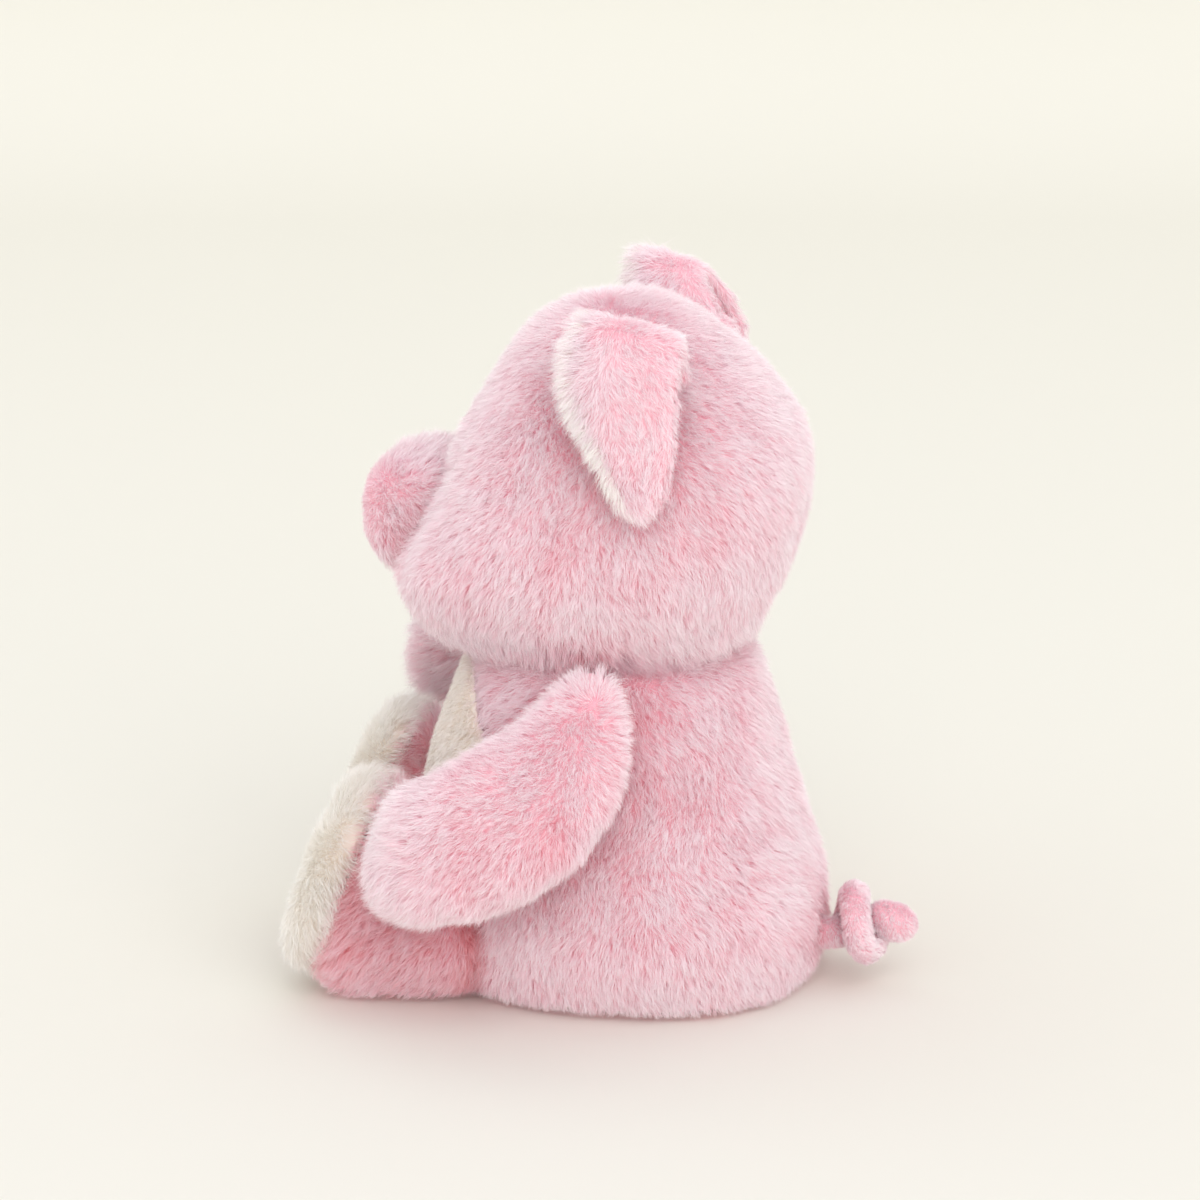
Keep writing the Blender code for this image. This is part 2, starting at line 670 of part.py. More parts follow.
def make_ears(head, pink, smooth_pink):
    """Each ear is a folded fur strip on a root bead, with a smooth lining on the side towards the head."""
    for side, label in SIDE_NAMES.items():
        shapes = {
            "fur": ear_fur("ear", side),
            "bead": root_bead("ear_bead"),
            "groove": root_bead("ear_groove", SEAM_GAP),
            "lining": ear_lining("lining", side),
            "bed": ear_lining("lining_bed", side, SEAM_GAP),
        }
        if side == RIGHT:
            shapes = {part: mirrored(part, mesh) for part, mesh in shapes.items()}
        ear = add_object(f"ear_{label}", shapes["fur"], pink)
        add_boolean(ear, add_cutter(f"ear_bead_{label}", shapes["bead"]), "UNION")
        add_boolean(ear, add_cutter(f"lining_bed_{label}", shapes["bed"]))
        add_boolean(head, add_cutter(f"ear_groove_{label}", shapes["groove"]))
        add_object(f"ear_lining_{label}", shapes["lining"], smooth_pink)


def make_snout(whole_head, pink, stitch):
    """The round snout, trimmed by the face, and its two stitched nostrils."""
    z = HEAD.base + SNOUT_HEIGHT_SHARE * HEAD_HEIGHT
    root = HEAD.front_at(0, z) - AHEAD * SNOUT_ROOT
    length = SNOUT_ROOT + SNOUT_REACH
    rings = []
    for place, share in SNOUT_SHARES:
        half_width, half_height = share * SNOUT_HALF_WIDTH, share * SNOUT_HALF_HEIGHT
        centre = root + AHEAD * (place * length)
        rings.append(ring(centre, ACROSS, UP, half_width, half_height, PAD_POWER, LIMB_SIDES))
    snout = add_object("snout", loft("snout", rings, end_pole=root + AHEAD * length), pink)
    add_boolean(snout, add_cutter("face", grown("face", whole_head, SEAM_GAP)))

    for side in (LEFT, RIGHT):
        label = SIDE_NAMES[side]
        place = SNOUT_SHARES[-1][0]
        centre = root + ACROSS * (side * NOSTRIL_SPACING / 2)
        centre += AHEAD * (place * length + NOSTRIL_THICKNESS * (1 / 2 - NOSTRIL_SUNK_SHARE))
        for name, by in ((f"nostril_{label}", 0.0), (f"nostril_bed_{label}", SEAM_GAP)):
            layers = [
                ring(
                    centre + AHEAD * (up * (NOSTRIL_THICKNESS + 2 * by)), ACROSS, UP,
                    out * NOSTRIL_HALF_WIDTH + by, out * NOSTRIL_HALF_HEIGHT + by, ROUND_POWER, SMALL_SIDES,
                )
                for out, up in NOSTRIL_SHARES
            ]
            half = AHEAD * (NOSTRIL_THICKNESS / 2 + by)
            mesh = loft(name, layers, centre - half, centre + half)
            if by:
                add_boolean(snout, add_cutter(name, mesh))
            else:
                add_object(name, mesh, stitch)


def make_head(pink):
    """The head, hollowed underneath for the neck seat. Returns it with its uncut mesh."""
    centre = HEAD.level(1)[0]
    whole = loft("head", HEAD.rings(), end_pole=centre)
    head = add_object("head", whole, pink)
    seat_centre, steps = neck_dome(SEAM_GAP)
    profile = [(steps[0][0], -OVERRUN)] + steps + [(0, NECK_DOME_HEIGHT + SEAM_GAP)]
    seat = turned("neck_seat", seat_centre, UP, profile, BODY_SIDES)
    add_boolean(head, add_cutter("neck_seat", seat))
    return head, whole


def leg_swing(side, angle):
    """Turns points about the hip, as the leg does when it lifts."""
    hip, across, _ = leg_frame(side)
    return Matrix.Translation(hip) @ Matrix.Rotation(angle, 4, across) @ Matrix.Translation(-hip)


def shoulder_frame(side, whole_body, leg_points):
    """The pivot on the shoulder seam, with its outward and downward directions.

    The seam's plane lies outside the body, and outside the leg wherever it swings.
    """
    outwards = Vector((side * math.cos(SHOULDER_TILT), 0, math.sin(SHOULDER_TILT)))
    downwards = Vector((side * math.sin(SHOULDER_TILT), 0, -math.cos(SHOULDER_TILT)))
    reach = max(outwards.dot(vertex.co) for vertex in whole_body.vertices)
    for angle in (0, -max(LEG_SWINGS), -min(LEG_SWINGS)):
        swing = leg_swing(side, angle)
        reach = max(reach, max(outwards.dot(swing @ point) for point in leg_points))
    reach += ARM_SEAT_GAP
    z = BODY_HEIGHT - SHOULDER_DROP
    x = side * (reach - outwards.z * z) / abs(outwards.x)
    return Vector((x, SHOULDER_SETBACK, z)), outwards, downwards


def make_arm(side, headings, body, leg_points, pink):
    """A filled arm that bends forward, flat side to the body, on a root that turns. Returns its pivot."""
    pivot, outwards, downwards = shoulder_frame(side, body.data, leg_points)
    start, end = headings

    def heading(share):
        angle = start + (end - start) * min(max(share, 0), 1)
        return downwards * math.cos(angle) + AHEAD * math.sin(angle)

    def middle(share):
        """Walks the arm's middle line from the pivot to a share of its reach."""
        point = pivot.copy()
        for index in range(ARM_STEPS):
            point += heading(share * (index + 1 / 2) / ARM_STEPS) * (share * ARM_REACH / ARM_STEPS)
        return point

    rings = []
    for place, width_share, thickness_share in ARM_SHARES:
        half_through = thickness_share * ARM_HALF_THICKNESS
        run = heading(place)
        centre = middle(place) + outwards * half_through
        rings.append(
            ring(
                centre, outwards, run.cross(outwards), half_through, width_share * ARM_HALF_WIDTH,
                PAD_POWER, LIMB_SIDES,
            )
        )
    poles = [
        middle(end_share) + outwards * (row[2] * ARM_HALF_THICKNESS)
        for end_share, row in zip(ARM_END_SHARES, (ARM_SHARES[0], ARM_SHARES[-1]))
    ]
    name = f"arm_{SIDE_NAMES[side]}"
    arm = add_object(name, loft(name, rings, *poles), pink)
    for root_name, target, by, operation in (
        (f"shoulder_root_{SIDE_NAMES[side]}", arm, 0, "UNION"),
        (f"shoulder_socket_{SIDE_NAMES[side]}", body, SEAM_GAP, "DIFFERENCE"),
    ):
        radius = SHOULDER_ROOT_RADIUS + by
        profile = [(radius, -SHOULDER_ROOT_DEPTH - by), (radius, SHOULDER_ROOT_OVERLAP)]
        root = add_cutter(root_name, turned(root_name, pivot, outwards, profile, LIMB_SIDES))
        add_boolean(target, root, operation)
    return pivot


def leg_frame(side):
    """The hip, and the leg's own sideways and forward directions."""
    splay = LEG_LEFT_SPLAY if side == LEFT else LEG_RIGHT_SPLAY
    turn = Matrix.Rotation(side * splay, 3, "Z")
    return hip_centre(side), turn @ ACROSS, turn @ AHEAD


def add_leg_clearance(side, leg, whole_body):
    """Trims the leg where it would press into the body as it swings, outside the round of its hip."""
    label = SIDE_NAMES[side]
    round_mesh = ball(f"hip_round_{label}", hip_centre(side), HIP_RADIUS, HIP_SIDES)
    keep = add_cutter(f"hip_round_{label}", round_mesh)
    for step, swing in enumerate(LEG_SWINGS):
        name = f"leg_clearance_{label}_{step}"
        mesh = grown(name, whole_body, LEG_CLEARANCE)
        mesh.transform(leg_swing(side, swing))
        clearance = add_cutter(name, mesh)
        add_boolean(clearance, keep)
        add_boolean(leg, clearance)


def make_leg(side, length, whole_body, pink, cream):
    """A leg that turns on a round hip and swells to a leaning foot with a fur sole. Returns its points."""
    hip, across, ahead = leg_frame(side)
    label = SIDE_NAMES[side]
    rings = []
    for index in range(1, HIP_RINGS + 1):
        angle = math.pi / 2 * index / HIP_RINGS
        radius = HIP_RADIUS * math.sin(angle)
        centre = hip - ahead * (HIP_RADIUS * math.cos(angle))
        rings.append(ring(centre, across, UP, radius, radius, ROUND_POWER, LIMB_SIDES))

    seam_normal = ahead * math.cos(FOOT_LEAN) + UP * math.sin(FOOT_LEAN)
    seam_up = UP * math.cos(FOOT_LEAN) - ahead * math.sin(FOOT_LEAN)
    seam_centre = hip + ahead * length
    seam_centre.z = FOOT_SEAM_LIFT + FOOT_HALF_HEIGHT * math.cos(FOOT_LEAN)
    top = seam_centre.z + FOOT_HALF_HEIGHT * math.cos(FOOT_LEAN)
    for place, low_share, high_share, width_share in LEG_SHARES:
        low = low_share * FOOT_HALF_HEIGHT - FLOOR_CUT
        high = high_share * top
        lean = FOOT_LEAN * place
        centre = hip + ahead * (place * length)
        centre.z = (low + high) / 2
        half_height = (high - low) / 2 / math.cos(lean)
        width = HIP_RADIUS + (FOOT_HALF_WIDTH - HIP_RADIUS) * place
        power = ROUND_POWER + (PAD_POWER - ROUND_POWER) * place
        lean_up = UP * math.cos(lean) - ahead * math.sin(lean)
        rings.append(ring(centre, across, lean_up, width * width_share, half_height, power, LIMB_SIDES))
    rings.append(
        ring(seam_centre, across, seam_up, FOOT_HALF_WIDTH, FOOT_HALF_HEIGHT, PAD_POWER, LIMB_SIDES)
    )
    for points in rings:
        for point in points:
            point.z = max(point.z, 0)
    leg = add_object(f"leg_{label}", loft(f"leg_{label}", rings, hip - ahead * HIP_RADIUS), pink)
    add_leg_clearance(side, leg, whole_body)

    base = seam_centre + seam_normal * SEAM_GAP
    sole_rings = [
        ring(
            base + seam_normal * (place * SOLE_DEPTH), across, seam_up, share * FOOT_HALF_WIDTH,
            share * FOOT_HALF_HEIGHT, PAD_POWER, LIMB_SIDES,
        )
        for place, share in SOLE_SHARES
    ]
    sole_mesh = loft(f"sole_{label}", sole_rings, end_pole=base + seam_normal * SOLE_DEPTH)
    add_object(f"sole_{label}", sole_mesh, cream)
    return [point for points in rings + sole_rings for point in points]


def tail_line():
    """The tail's middle line: straight from its root, once and a quarter round, and out to its tip."""
    root = tail_root()
    back = -AHEAD
    curl_base = root + back * TAIL_LEAD + UP * TAIL_CURL_RISE
    points = [root + back * (TAIL_LEAD * share) for share in TAIL_LEAD_SHARES]
    for index in range(TAIL_CURL_POINTS + 1):
        share = index / TAIL_CURL_POINTS
        angle = TAIL_CURL_START + 2 * math.pi * TAIL_TURNS * share
        opening = read_rows(TAIL_OPENING_SHARES, share)[0]
        radius = TAIL_CURL_RADIUS * opening
        centre = curl_base + back * (TAIL_PITCH * TAIL_TURNS * share)
        points.append(centre + ACROSS * (radius * math.sin(angle)) + UP * (radius * math.cos(angle)))
    last = points[-1]
    out = (back - UP * TAIL_TIP_FALL_SHARE).normalized()
    points += [last + out * (TAIL_TIP_LENGTH * share) for share in TAIL_TIP_SHARES]
    return smooth_line(points, 2)


def smooth_line(points, between):
    """More points on a smooth curve through the points given."""
    made = []
    for index in range(len(points) - 1):
        p0 = points[max(index - 1, 0)]
        p1, p2 = points[index], points[index + 1]
        p3 = points[min(index + 2, len(points) - 1)]
        for step in range(between):
            t = step / between
            made.append(
                p1 * (2 * t ** 3 - 3 * t ** 2 + 1) + (p2 - p0) / 2 * (t ** 3 - 2 * t ** 2 + t)
                + p2 * (3 * t ** 2 - 2 * t ** 3) + (p3 - p1) / 2 * (t ** 3 - t ** 2)
            )
    return made + [points[-1]]


def least_self_gap(line, radii):
    """The least distance between the surfaces of stretches that aren't neighbours along the tube."""
    lengths = [0.0]
    for before, after in zip(line, line[1:]):
        lengths.append(lengths[-1] + (after - before).length)
    least = math.inf
    for i, first in enumerate(line):
        for j in range(i + 1, len(line)):
            if lengths[j] - lengths[i] < math.pi * (radii[i] + radii[j]):
                continue
            least = min(least, (line[j] - first).length - radii[i] - radii[j])
    return least


def make_tail(smooth_pink):
    """The curled tail, one unbroken tube from a round root to a round tip."""
    line = tail_line()
    count = len(line)
    radii = []
    for index in range(count):
        swell = read_rows(TAIL_SWELL_SHARES, index / (count - 1))[0]
        radii.append(TAIL_RADIUS + (TAIL_TIP_RADIUS - TAIL_RADIUS) * swell)
    radii[0] = (TAIL_ROOT_RADIUS + TAIL_RADIUS) / 2
    print(f"tail: least gap to itself {least_self_gap(line, radii) / MM:.2f} mm")

    root = tail_root()
    across = ACROSS.copy()
    rings = []
    for angle in TAIL_ROOT_ANGLES:
        centre = root - AHEAD * (TAIL_ROOT_RADIUS * math.sin(angle))
        radius = TAIL_ROOT_RADIUS * math.cos(angle)
        rings.append(ring(centre, across, UP, radius, radius, ROUND_POWER, TUBE_SIDES))
    for index, (centre, radius) in enumerate(zip(line, radii)):
        run = (line[min(index + 1, count - 1)] - line[max(index - 1, 0)]).normalized()
        across = (across - run * across.dot(run)).normalized()
        rings.append(ring(centre, across, across.cross(run), radius, radius, ROUND_POWER, TUBE_SIDES))
    end, run = line[-1], (line[-1] - line[-2]).normalized()
    for angle in TAIL_END_ANGLES:
        radius = TAIL_TIP_RADIUS * math.cos(angle)
        centre = end + run * (TAIL_TIP_RADIUS * math.sin(angle))
        rings.append(ring(centre, across, across.cross(run), radius, radius, ROUND_POWER, TUBE_SIDES))
    poles = (root + AHEAD * TAIL_ROOT_RADIUS, end + run * TAIL_TIP_RADIUS)
    add_object("tail", loft("tail", rings, *poles), smooth_pink)


def hang(name, carrier_name, pivot=None):
    """Hangs a piece on the one that carries it, with its origin on its joint if it moves."""
    piece, carrier = bpy.data.objects[name], bpy.data.objects[carrier_name]
    if pivot:
        piece.data.transform(Matrix.Translation(-pivot))
        piece.location = pivot
    piece.parent = carrier
    piece.matrix_parent_inverse = Matrix.Translation(-carrier.location)


def hang_pieces(shoulders):
    for name in ("belly_panel", "seat_panel", "pellet_bag"):
        hang(name, "body")
    hang("tail", "body", tail_root())
    hang("head", "body", BODY.level(1)[0])
    hang("snout", "head")
    for side, label in SIDE_NAMES.items():
        for piece in ("eye", "eye_washer", "nostril"):
            hang(f"{piece}_{label}", "head")
        pivot = ear_pivot()
        pivot.x *= side
        hang(f"ear_{label}", "head", pivot)
        hang(f"ear_lining_{label}", f"ear_{label}")
        hang(f"arm_{label}", "body", shoulders[side])
        hang(f"leg_{label}", "body", hip_centre(side))
        hang(f"sole_{label}", f"leg_{label}")


def main():
    clear_scene()
    pink = material("pink_fur", (0.87, 0.49, 0.55), 0.95)
    cream = material("cream_fur", (0.88, 0.84, 0.76), 0.95)
    smooth_pink = material("pink_pile", (0.90, 0.53, 0.60), 0.85)
    black = material("black_eye", (0.01, 0.01, 0.012), 0.12)
    stitch = material("nostril_thread", (0.62, 0.22, 0.30), 0.6)
    white = material("washer_plastic", (0.85, 0.85, 0.83), 0.45)
    canvas = material("pouch_cloth", (0.75, 0.73, 0.68), 0.9)

    make_body(pink, cream, canvas)
    body = bpy.data.objects["body"]
    head, whole_head = make_head(pink)
    make_snout(whole_head, pink, stitch)
    make_eyes(head, black, white)
    make_ears(head, pink, smooth_pink)
    shoulders = {}
    for side, length, headings in (
        (LEFT, LEG_LEFT_LENGTH, ARM_LEFT_HEADINGS),
        (RIGHT, LEG_RIGHT_LENGTH, ARM_RIGHT_HEADINGS),
    ):
        leg_points = make_leg(side, length, body.data, pink, cream)
        shoulders[side] = make_arm(side, headings, body, leg_points, pink)
    make_tail(smooth_pink)
    hang_pieces(shoulders)


main()
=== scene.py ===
"""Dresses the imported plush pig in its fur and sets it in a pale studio.

Every soft solid gets a smoothed skin of its own, and on the skins grow strands of pile, each a small
bent ribbon. Their colour runs from root to tip along one axis of the UV map and from deep to pale
along the other. Lengths are in metres.
"""
import json
import math

import bpy
import numpy as np
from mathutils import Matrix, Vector
from mathutils.bvhtree import BVHTree
from mathutils.kdtree import KDTree


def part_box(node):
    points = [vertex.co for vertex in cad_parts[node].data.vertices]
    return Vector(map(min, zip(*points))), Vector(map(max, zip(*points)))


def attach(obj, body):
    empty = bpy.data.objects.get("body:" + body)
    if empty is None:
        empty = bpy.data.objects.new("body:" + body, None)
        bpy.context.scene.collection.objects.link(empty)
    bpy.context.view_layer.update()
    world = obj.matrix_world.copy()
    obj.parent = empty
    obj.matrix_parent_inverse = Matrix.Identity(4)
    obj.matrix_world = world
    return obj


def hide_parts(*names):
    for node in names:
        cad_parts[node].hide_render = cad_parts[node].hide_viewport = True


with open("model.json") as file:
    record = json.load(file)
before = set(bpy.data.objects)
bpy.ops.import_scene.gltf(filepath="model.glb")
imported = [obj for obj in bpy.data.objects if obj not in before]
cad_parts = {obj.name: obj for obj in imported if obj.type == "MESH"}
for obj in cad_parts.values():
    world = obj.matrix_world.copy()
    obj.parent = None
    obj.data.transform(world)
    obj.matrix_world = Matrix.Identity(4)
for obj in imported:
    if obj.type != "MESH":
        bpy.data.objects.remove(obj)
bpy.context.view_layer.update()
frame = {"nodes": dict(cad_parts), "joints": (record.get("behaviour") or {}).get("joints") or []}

MM = 0.001
UV_NAME = "OFBake"
# The most strands that one piece holds
MOST_STRANDS = 60000

# The photograph's view, from the pig's left and a little from behind
CAMERA_TARGET = Vector((0.00405, -0.00954, 0.1388))
CAMERA_BACK = Vector((0.9412, 0.2173, 0.2588))
CAMERA_DISTANCE = 1.5
CAMERA_LENS = 125
CAMERA_SENSOR = 36
CAMERA_NEAR, CAMERA_FAR = 0.05, 20

# How much paler the pile is painted where it faces up: painted light from above
SKYWARD_PAINTED_LIGHT = 0.4
# Painted shade: how much deeper the pile is painted where a neighbour lies near it, and from how far away
PAINTED_SHADE_DEPTH = 0.5
PAINTED_SHADE_REACH = 12 * MM
# Light that goes from strand to strand gives pale pile its soft shadows
PILE_BOUNCES = 10

# The backing shows between the strands, this far inside a filled form's own surface
BODY_INSET = 3.4 * MM
LIMB_INSET = 3 * MM
SOLE_INSET = 2.4 * MM
SNOUT_INSET = 2.6 * MM
EAR_INSET = 1.2 * MM
TAIL_INSET = 0.6 * MM
LINING_INSET = 0.1 * MM
# Where a neighbour lies within its reach, the backing stays this near to the form's surface
CONTACT_REACH = 2.5 * MM
CONTACT_INSET = 0.2 * MM
# How far above the backing the nearness of neighbours is read, for the painted shade
PAINTED_SHADE_HEIGHT = 7 * MM
# Nothing of the skins lies lower than this over the floor
LEAST_HEIGHT = 0.2 * MM
# Below this height a skin keeps to the form's own flat underside
SEAT_ROUND = 14 * MM

# Long pile has this many strands to a square millimetre, on skins with this size of net
LONG_DENSITY = 6.5
LIMB_VOXEL = 2.4 * MM

# The crown's whorl, and the height of the snout's middle
CROWN_SETBACK = 5 * MM
CROWN_HEIGHT = 185 * MM
SNOUT_HEIGHT = 171 * MM
# Where along Y the snout's inset, its pile's length and its tone begin and end their change to the front's
SNOUT_FLAT = (-86 * MM, -92 * MM)
SNOUT_SHORT = (-84 * MM, -91 * MM)
SNOUT_PALE = (-80 * MM, -90 * MM)
# How far an ear's lower part hangs back, and how far its root sinks into the head's pile
EAR_HANG = 6.5 * MM
EAR_SINK = 2 * MM
FRINGE_LENGTH = 8 * MM
# The fringe grows where the ear faces the front this much, and the panel's pile where the panel does
FRINGE_SLOPE = -0.2
PANEL_SLOPE = 0.1

# Strands: how far over the backing a face is tested for cover, and the flat underside that stays bare
COVER_HEIGHT = 0.7 * MM
BARE_SLOPE = -0.75
BARE_HEIGHT = 5 * MM
# A strand bends at its knee
KNEE_SHARE = 0.45
KNEE_WIDTH_SHARE = 0.85
KNEE_UV = 0.46
WAVE_SIZES = {"wide": 62 * MM, "fine": 17 * MM, "rise": 24 * MM}
# Spreads of the random draws: degrees for turns and lifts, shares for the others
TUFT_TURN = 13
TUFT_SIZE = 0.1
TUFT_TONE = 0.09
STRAND_TURN = 11
STRAND_LIFT = 6
STRAND_CURL = 0.16
STRAND_TONE = 0.07
STRAND_SIZES = (0.72, 1.12)
STRAND_WIDTHS = (0.7, 1.25)
STRAY_LIFT = 16
WAVE_LIFT = 5
FINE_TONE = 0.02
RISE_TONE = 0.03
TONE_LEAST, TONE_MOST = 0.02, 0.98

SIDES = {"left": 1, "right": -1}
BLACK, WHITE = (0, 0, 0, 1), (1, 1, 1, 1)


def colour(red, green, blue):
    """An sRGB colour, from 0 to 255 as it is seen, in the linear values that nodes take."""
    shares = np.array((red, green, blue)) / 255
    linear = np.where(shares <= 0.04045, shares / 12.92, ((shares + 0.055) / 1.055) ** 2.4)
    return (*[float(value) for value in linear], 1.0)


def unit(vectors):
    return vectors / np.maximum(np.linalg.norm(vectors, axis=-1, keepdims=True), 1e-9)


def fade(low, high, values):
    """A smooth step from 0 at low to 1 at high."""
    share = np.clip((values - low) / (high - low), 0, 1)
    return share * share * (3 - 2 * share)


class Noise:
    """Smooth random values over space, made of a few sine waves."""

    def __init__(self, seed, size, waves=7):
        rng = np.random.default_rng(seed)
        ways = unit(rng.normal(size=(waves, 3)))
        self.ways = ways * (2 * np.pi / size) * rng.uniform(0.6, 1.5, (waves, 1))
        self.shifts = rng.uniform(0, 2 * np.pi, waves)

    def __call__(self, points):
        return np.sin(points @ self.ways.T + self.shifts).sum(axis=1) / math.sqrt(len(self.shifts) / 2)


# Materials


def ramp(tree, stops, factor):
    node = tree.nodes.new("ShaderNodeValToRGB")
    node.color_ramp.interpolation = "EASE"
    while len(node.color_ramp.elements) < len(stops):
        node.color_ramp.elements.new(0.5)
    for element, (place, value) in zip(node.color_ramp.elements, stops):
        element.position, element.color = place, value
    tree.links.new(factor, node.inputs["Fac"])
    return node.outputs["Color"]


def mixed(tree, factor, first, second):
    """Two colours mixed by a factor. A mix node's colours are its inputs 6 and 7 and its output 2."""
    node = tree.nodes.new("ShaderNodeMix")
    node.data_type = "RGBA"
    tree.links.new(factor, node.inputs["Factor"])
    tree.links.new(first, node.inputs[6])
    tree.links.new(second, node.inputs[7])
    return node.outputs[2]


def pile_material(name, deep, middle, pale, roughness=0.9, sheen=0.1):
    """Pile coloured from root to tip by V, and from its deep to its pale kind by U."""
    made = bpy.data.materials.new(name)
    made.use_nodes = True
    tree = made.node_tree
    surface = tree.nodes["Principled BSDF"]
    surface.inputs["Roughness"].default_value = roughness
    surface.inputs["Sheen Weight"].default_value = sheen
    surface.inputs["Sheen Roughness"].default_value = 0.45
    surface.inputs["Specular IOR Level"].default_value = 0.2
    uv = tree.nodes.new("ShaderNodeUVMap")
    uv.uv_map = UV_NAME
    split = tree.nodes.new("ShaderNodeSeparateXYZ")
    tree.links.new(uv.outputs["UV"], split.inputs["Vector"])
    along, kind = split.outputs["Y"], split.outputs["X"]
    to_middle = ramp(tree, [(0.0, BLACK), (0.5, WHITE)], kind)
    to_pale = ramp(tree, [(0.5, BLACK), (1.0, WHITE)], kind)
    shades = [ramp(tree, stops, along) for stops in (deep, middle, pale)]
    first = mixed(tree, to_middle, shades[0], shades[1])
    tree.links.new(mixed(tree, to_pale, first, shades[2]), surface.inputs["Base Color"])
    return made


# The scale of a cloth's mottle, as a share of the scale of its grain
MOTTLE_SHARE = 0.06


def cloth_material(name, low, high, grain=1.6 * MM, bump=0.25, roughness=0.9):
    """A backing or short pile cloth, mottled and finely grained. The grain is a length."""
    made = bpy.data.materials.new(name)
    made.use_nodes = True
    tree = made.node_tree
    surface = tree.nodes["Principled BSDF"]
    surface.inputs["Roughness"].default_value = roughness
    surface.inputs["Sheen Weight"].default_value = 0.3
    surface.inputs["Specular IOR Level"].default_value = 0.15
    place = tree.nodes.new("ShaderNodeTexCoord").outputs["Object"]
    mottle = tree.nodes.new("ShaderNodeTexNoise")
    mottle.inputs["Scale"].default_value = MOTTLE_SHARE / grain
    mottle.inputs["Detail"].default_value = 4
    fine = tree.nodes.new("ShaderNodeTexNoise")
    fine.inputs["Scale"].default_value = 1 / grain
    fine.inputs["Detail"].default_value = 3
    for node in (mottle, fine):
        tree.links.new(place, node.inputs["Vector"])
    shade = ramp(tree, [(0.35, low), (0.65, high)], mottle.outputs["Fac"])
    tree.links.new(shade, surface.inputs["Base Color"])
    relief = tree.nodes.new("ShaderNodeBump")
    relief.inputs["Strength"].default_value = bump
    relief.inputs["Distance"].default_value = grain / 3
    tree.links.new(fine.outputs["Fac"], relief.inputs["Height"])
    tree.links.new(relief.outputs["Normal"], surface.inputs["Normal"])
    return made


def plain_material(name, value, roughness, sheen=0):
    made = bpy.data.materials.new(name)
    made.use_nodes = True
    surface = made.node_tree.nodes["Principled BSDF"]
    surface.inputs["Base Color"].default_value = value
    surface.inputs["Roughness"].default_value = roughness
    surface.inputs["Sheen Weight"].default_value = sheen
    return made


PINK_FUR = pile_material(
    "pink_fur",
    deep=[(0.0, colour(232, 130, 138)), (0.5, colour(246, 183, 190)), (1.0, colour(252, 217, 224))],
    middle=[(0.0, colour(246, 184, 194)), (0.4, colour(252, 219, 228)), (1.0, colour(254, 242, 245))],
    pale=[(0.0, colour(250, 216, 225)), (0.4, colour(253, 239, 244)), (1.0, colour(254, 250, 251))],
)
CREAM_FUR = pile_material(
    "cream_fur",
    deep=[(0.0, colour(236, 226, 217)), (0.45, colour(246, 239, 233)), (1.0, colour(251, 247, 242))],
    middle=[(0.0, colour(243, 236, 228)), (0.4, colour(250, 246, 241)), (1.0, colour(253, 251, 248))],
    pale=[(0.0, colour(248, 243, 237)), (0.35, colour(252, 250, 246)), (1.0, colour(254, 253, 251))],
)
PINK_BACKING = cloth_material("pink_backing", colour(244, 186, 198), colour(250, 204, 213))
CREAM_BACKING = cloth_material("cream_backing", colour(238, 228, 216), colour(246, 238, 228))
SMOOTH_PINK = cloth_material("smooth_pink", colour(243, 194, 205), colour(250, 210, 219))


# Skins


def mesh_arrays(mesh):
    """The corners of a mesh of triangles and its triangles, as arrays."""
    mesh.calc_loop_triangles()
    points = np.empty(len(mesh.vertices) * 3)
    mesh.vertices.foreach_get("co", points)
    corners = np.empty(len(mesh.loop_triangles) * 3, dtype=np.int32)
    mesh.loop_triangles.foreach_get("vertices", corners)
    return points.reshape(-1, 3), corners.reshape(-1, 3)


def vertex_normals(points, corners):
    a, b, c = (points[corners[:, index]] for index in range(3))
    faces = np.cross(b - a, c - a)
    normals = np.zeros_like(points)
    for index in range(3):
        np.add.at(normals, corners[:, index], faces)
    return unit(normals)


def new_mesh(name, points, corners):
    """A mesh of triangles, shaded smooth."""
    mesh = bpy.data.meshes.new(name)
    mesh.vertices.add(len(points))
    mesh.vertices.foreach_set("co", np.ascontiguousarray(points, dtype=np.float32).ravel())
    mesh.loops.add(corners.size)
    mesh.loops.foreach_set("vertex_index", np.ascontiguousarray(corners, dtype=np.int32).ravel())
    mesh.polygons.add(len(corners))
    mesh.polygons.foreach_set("loop_start", np.arange(0, corners.size, 3, dtype=np.int32))
    mesh.update(calc_edges=True)
    mesh.shade_smooth()
    return mesh


def add_piece(name, mesh, surface, body):
    """A shown piece, which moves with a body and takes its finish from a slot."""
    made = bpy.data.objects.new(name, mesh)
    bpy.context.scene.collection.objects.link(made)
    mesh.materials.clear()
    mesh.materials.append(surface)
    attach(made, body)
    return made


def remeshed(node, voxel):
    """A node's form as an even net of triangles."""
    source = bpy.data.objects.new(f"{node}_source", frame["nodes"][node].data.copy())
    bpy.context.scene.collection.objects.link(source)
    step = source.modifiers.new("even", "REMESH")
    step.mode = "VOXEL"
    step.voxel_size = voxel
    even = source.evaluated_get(bpy.context.evaluated_depsgraph_get()).to_mesh()
    arrays = mesh_arrays(even)
    bpy.data.objects.remove(source, do_unlink=True)
    return arrays


def averaged(values, corners, rounds, pulls=(0.5, 0.5)):
    """Values at a net's corners, drawn towards the mean of their neighbours' by each pull in turn."""
    pairs = np.concatenate([corners[:, [0, 1]], corners[:, [1, 2]], corners[:, [2, 0]]])
    pairs = np.concatenate([pairs, pairs[:, ::-1]])
    counts = np.bincount(pairs[:, 0], minlength=len(values))[:, None]
    for index in range(rounds):
        sums = np.zeros_like(values)
        np.add.at(sums, pairs[:, 0], values[pairs[:, 1]])
        values = values + (sums / np.maximum(counts, 1) - values) * pulls[index % 2]
    return values


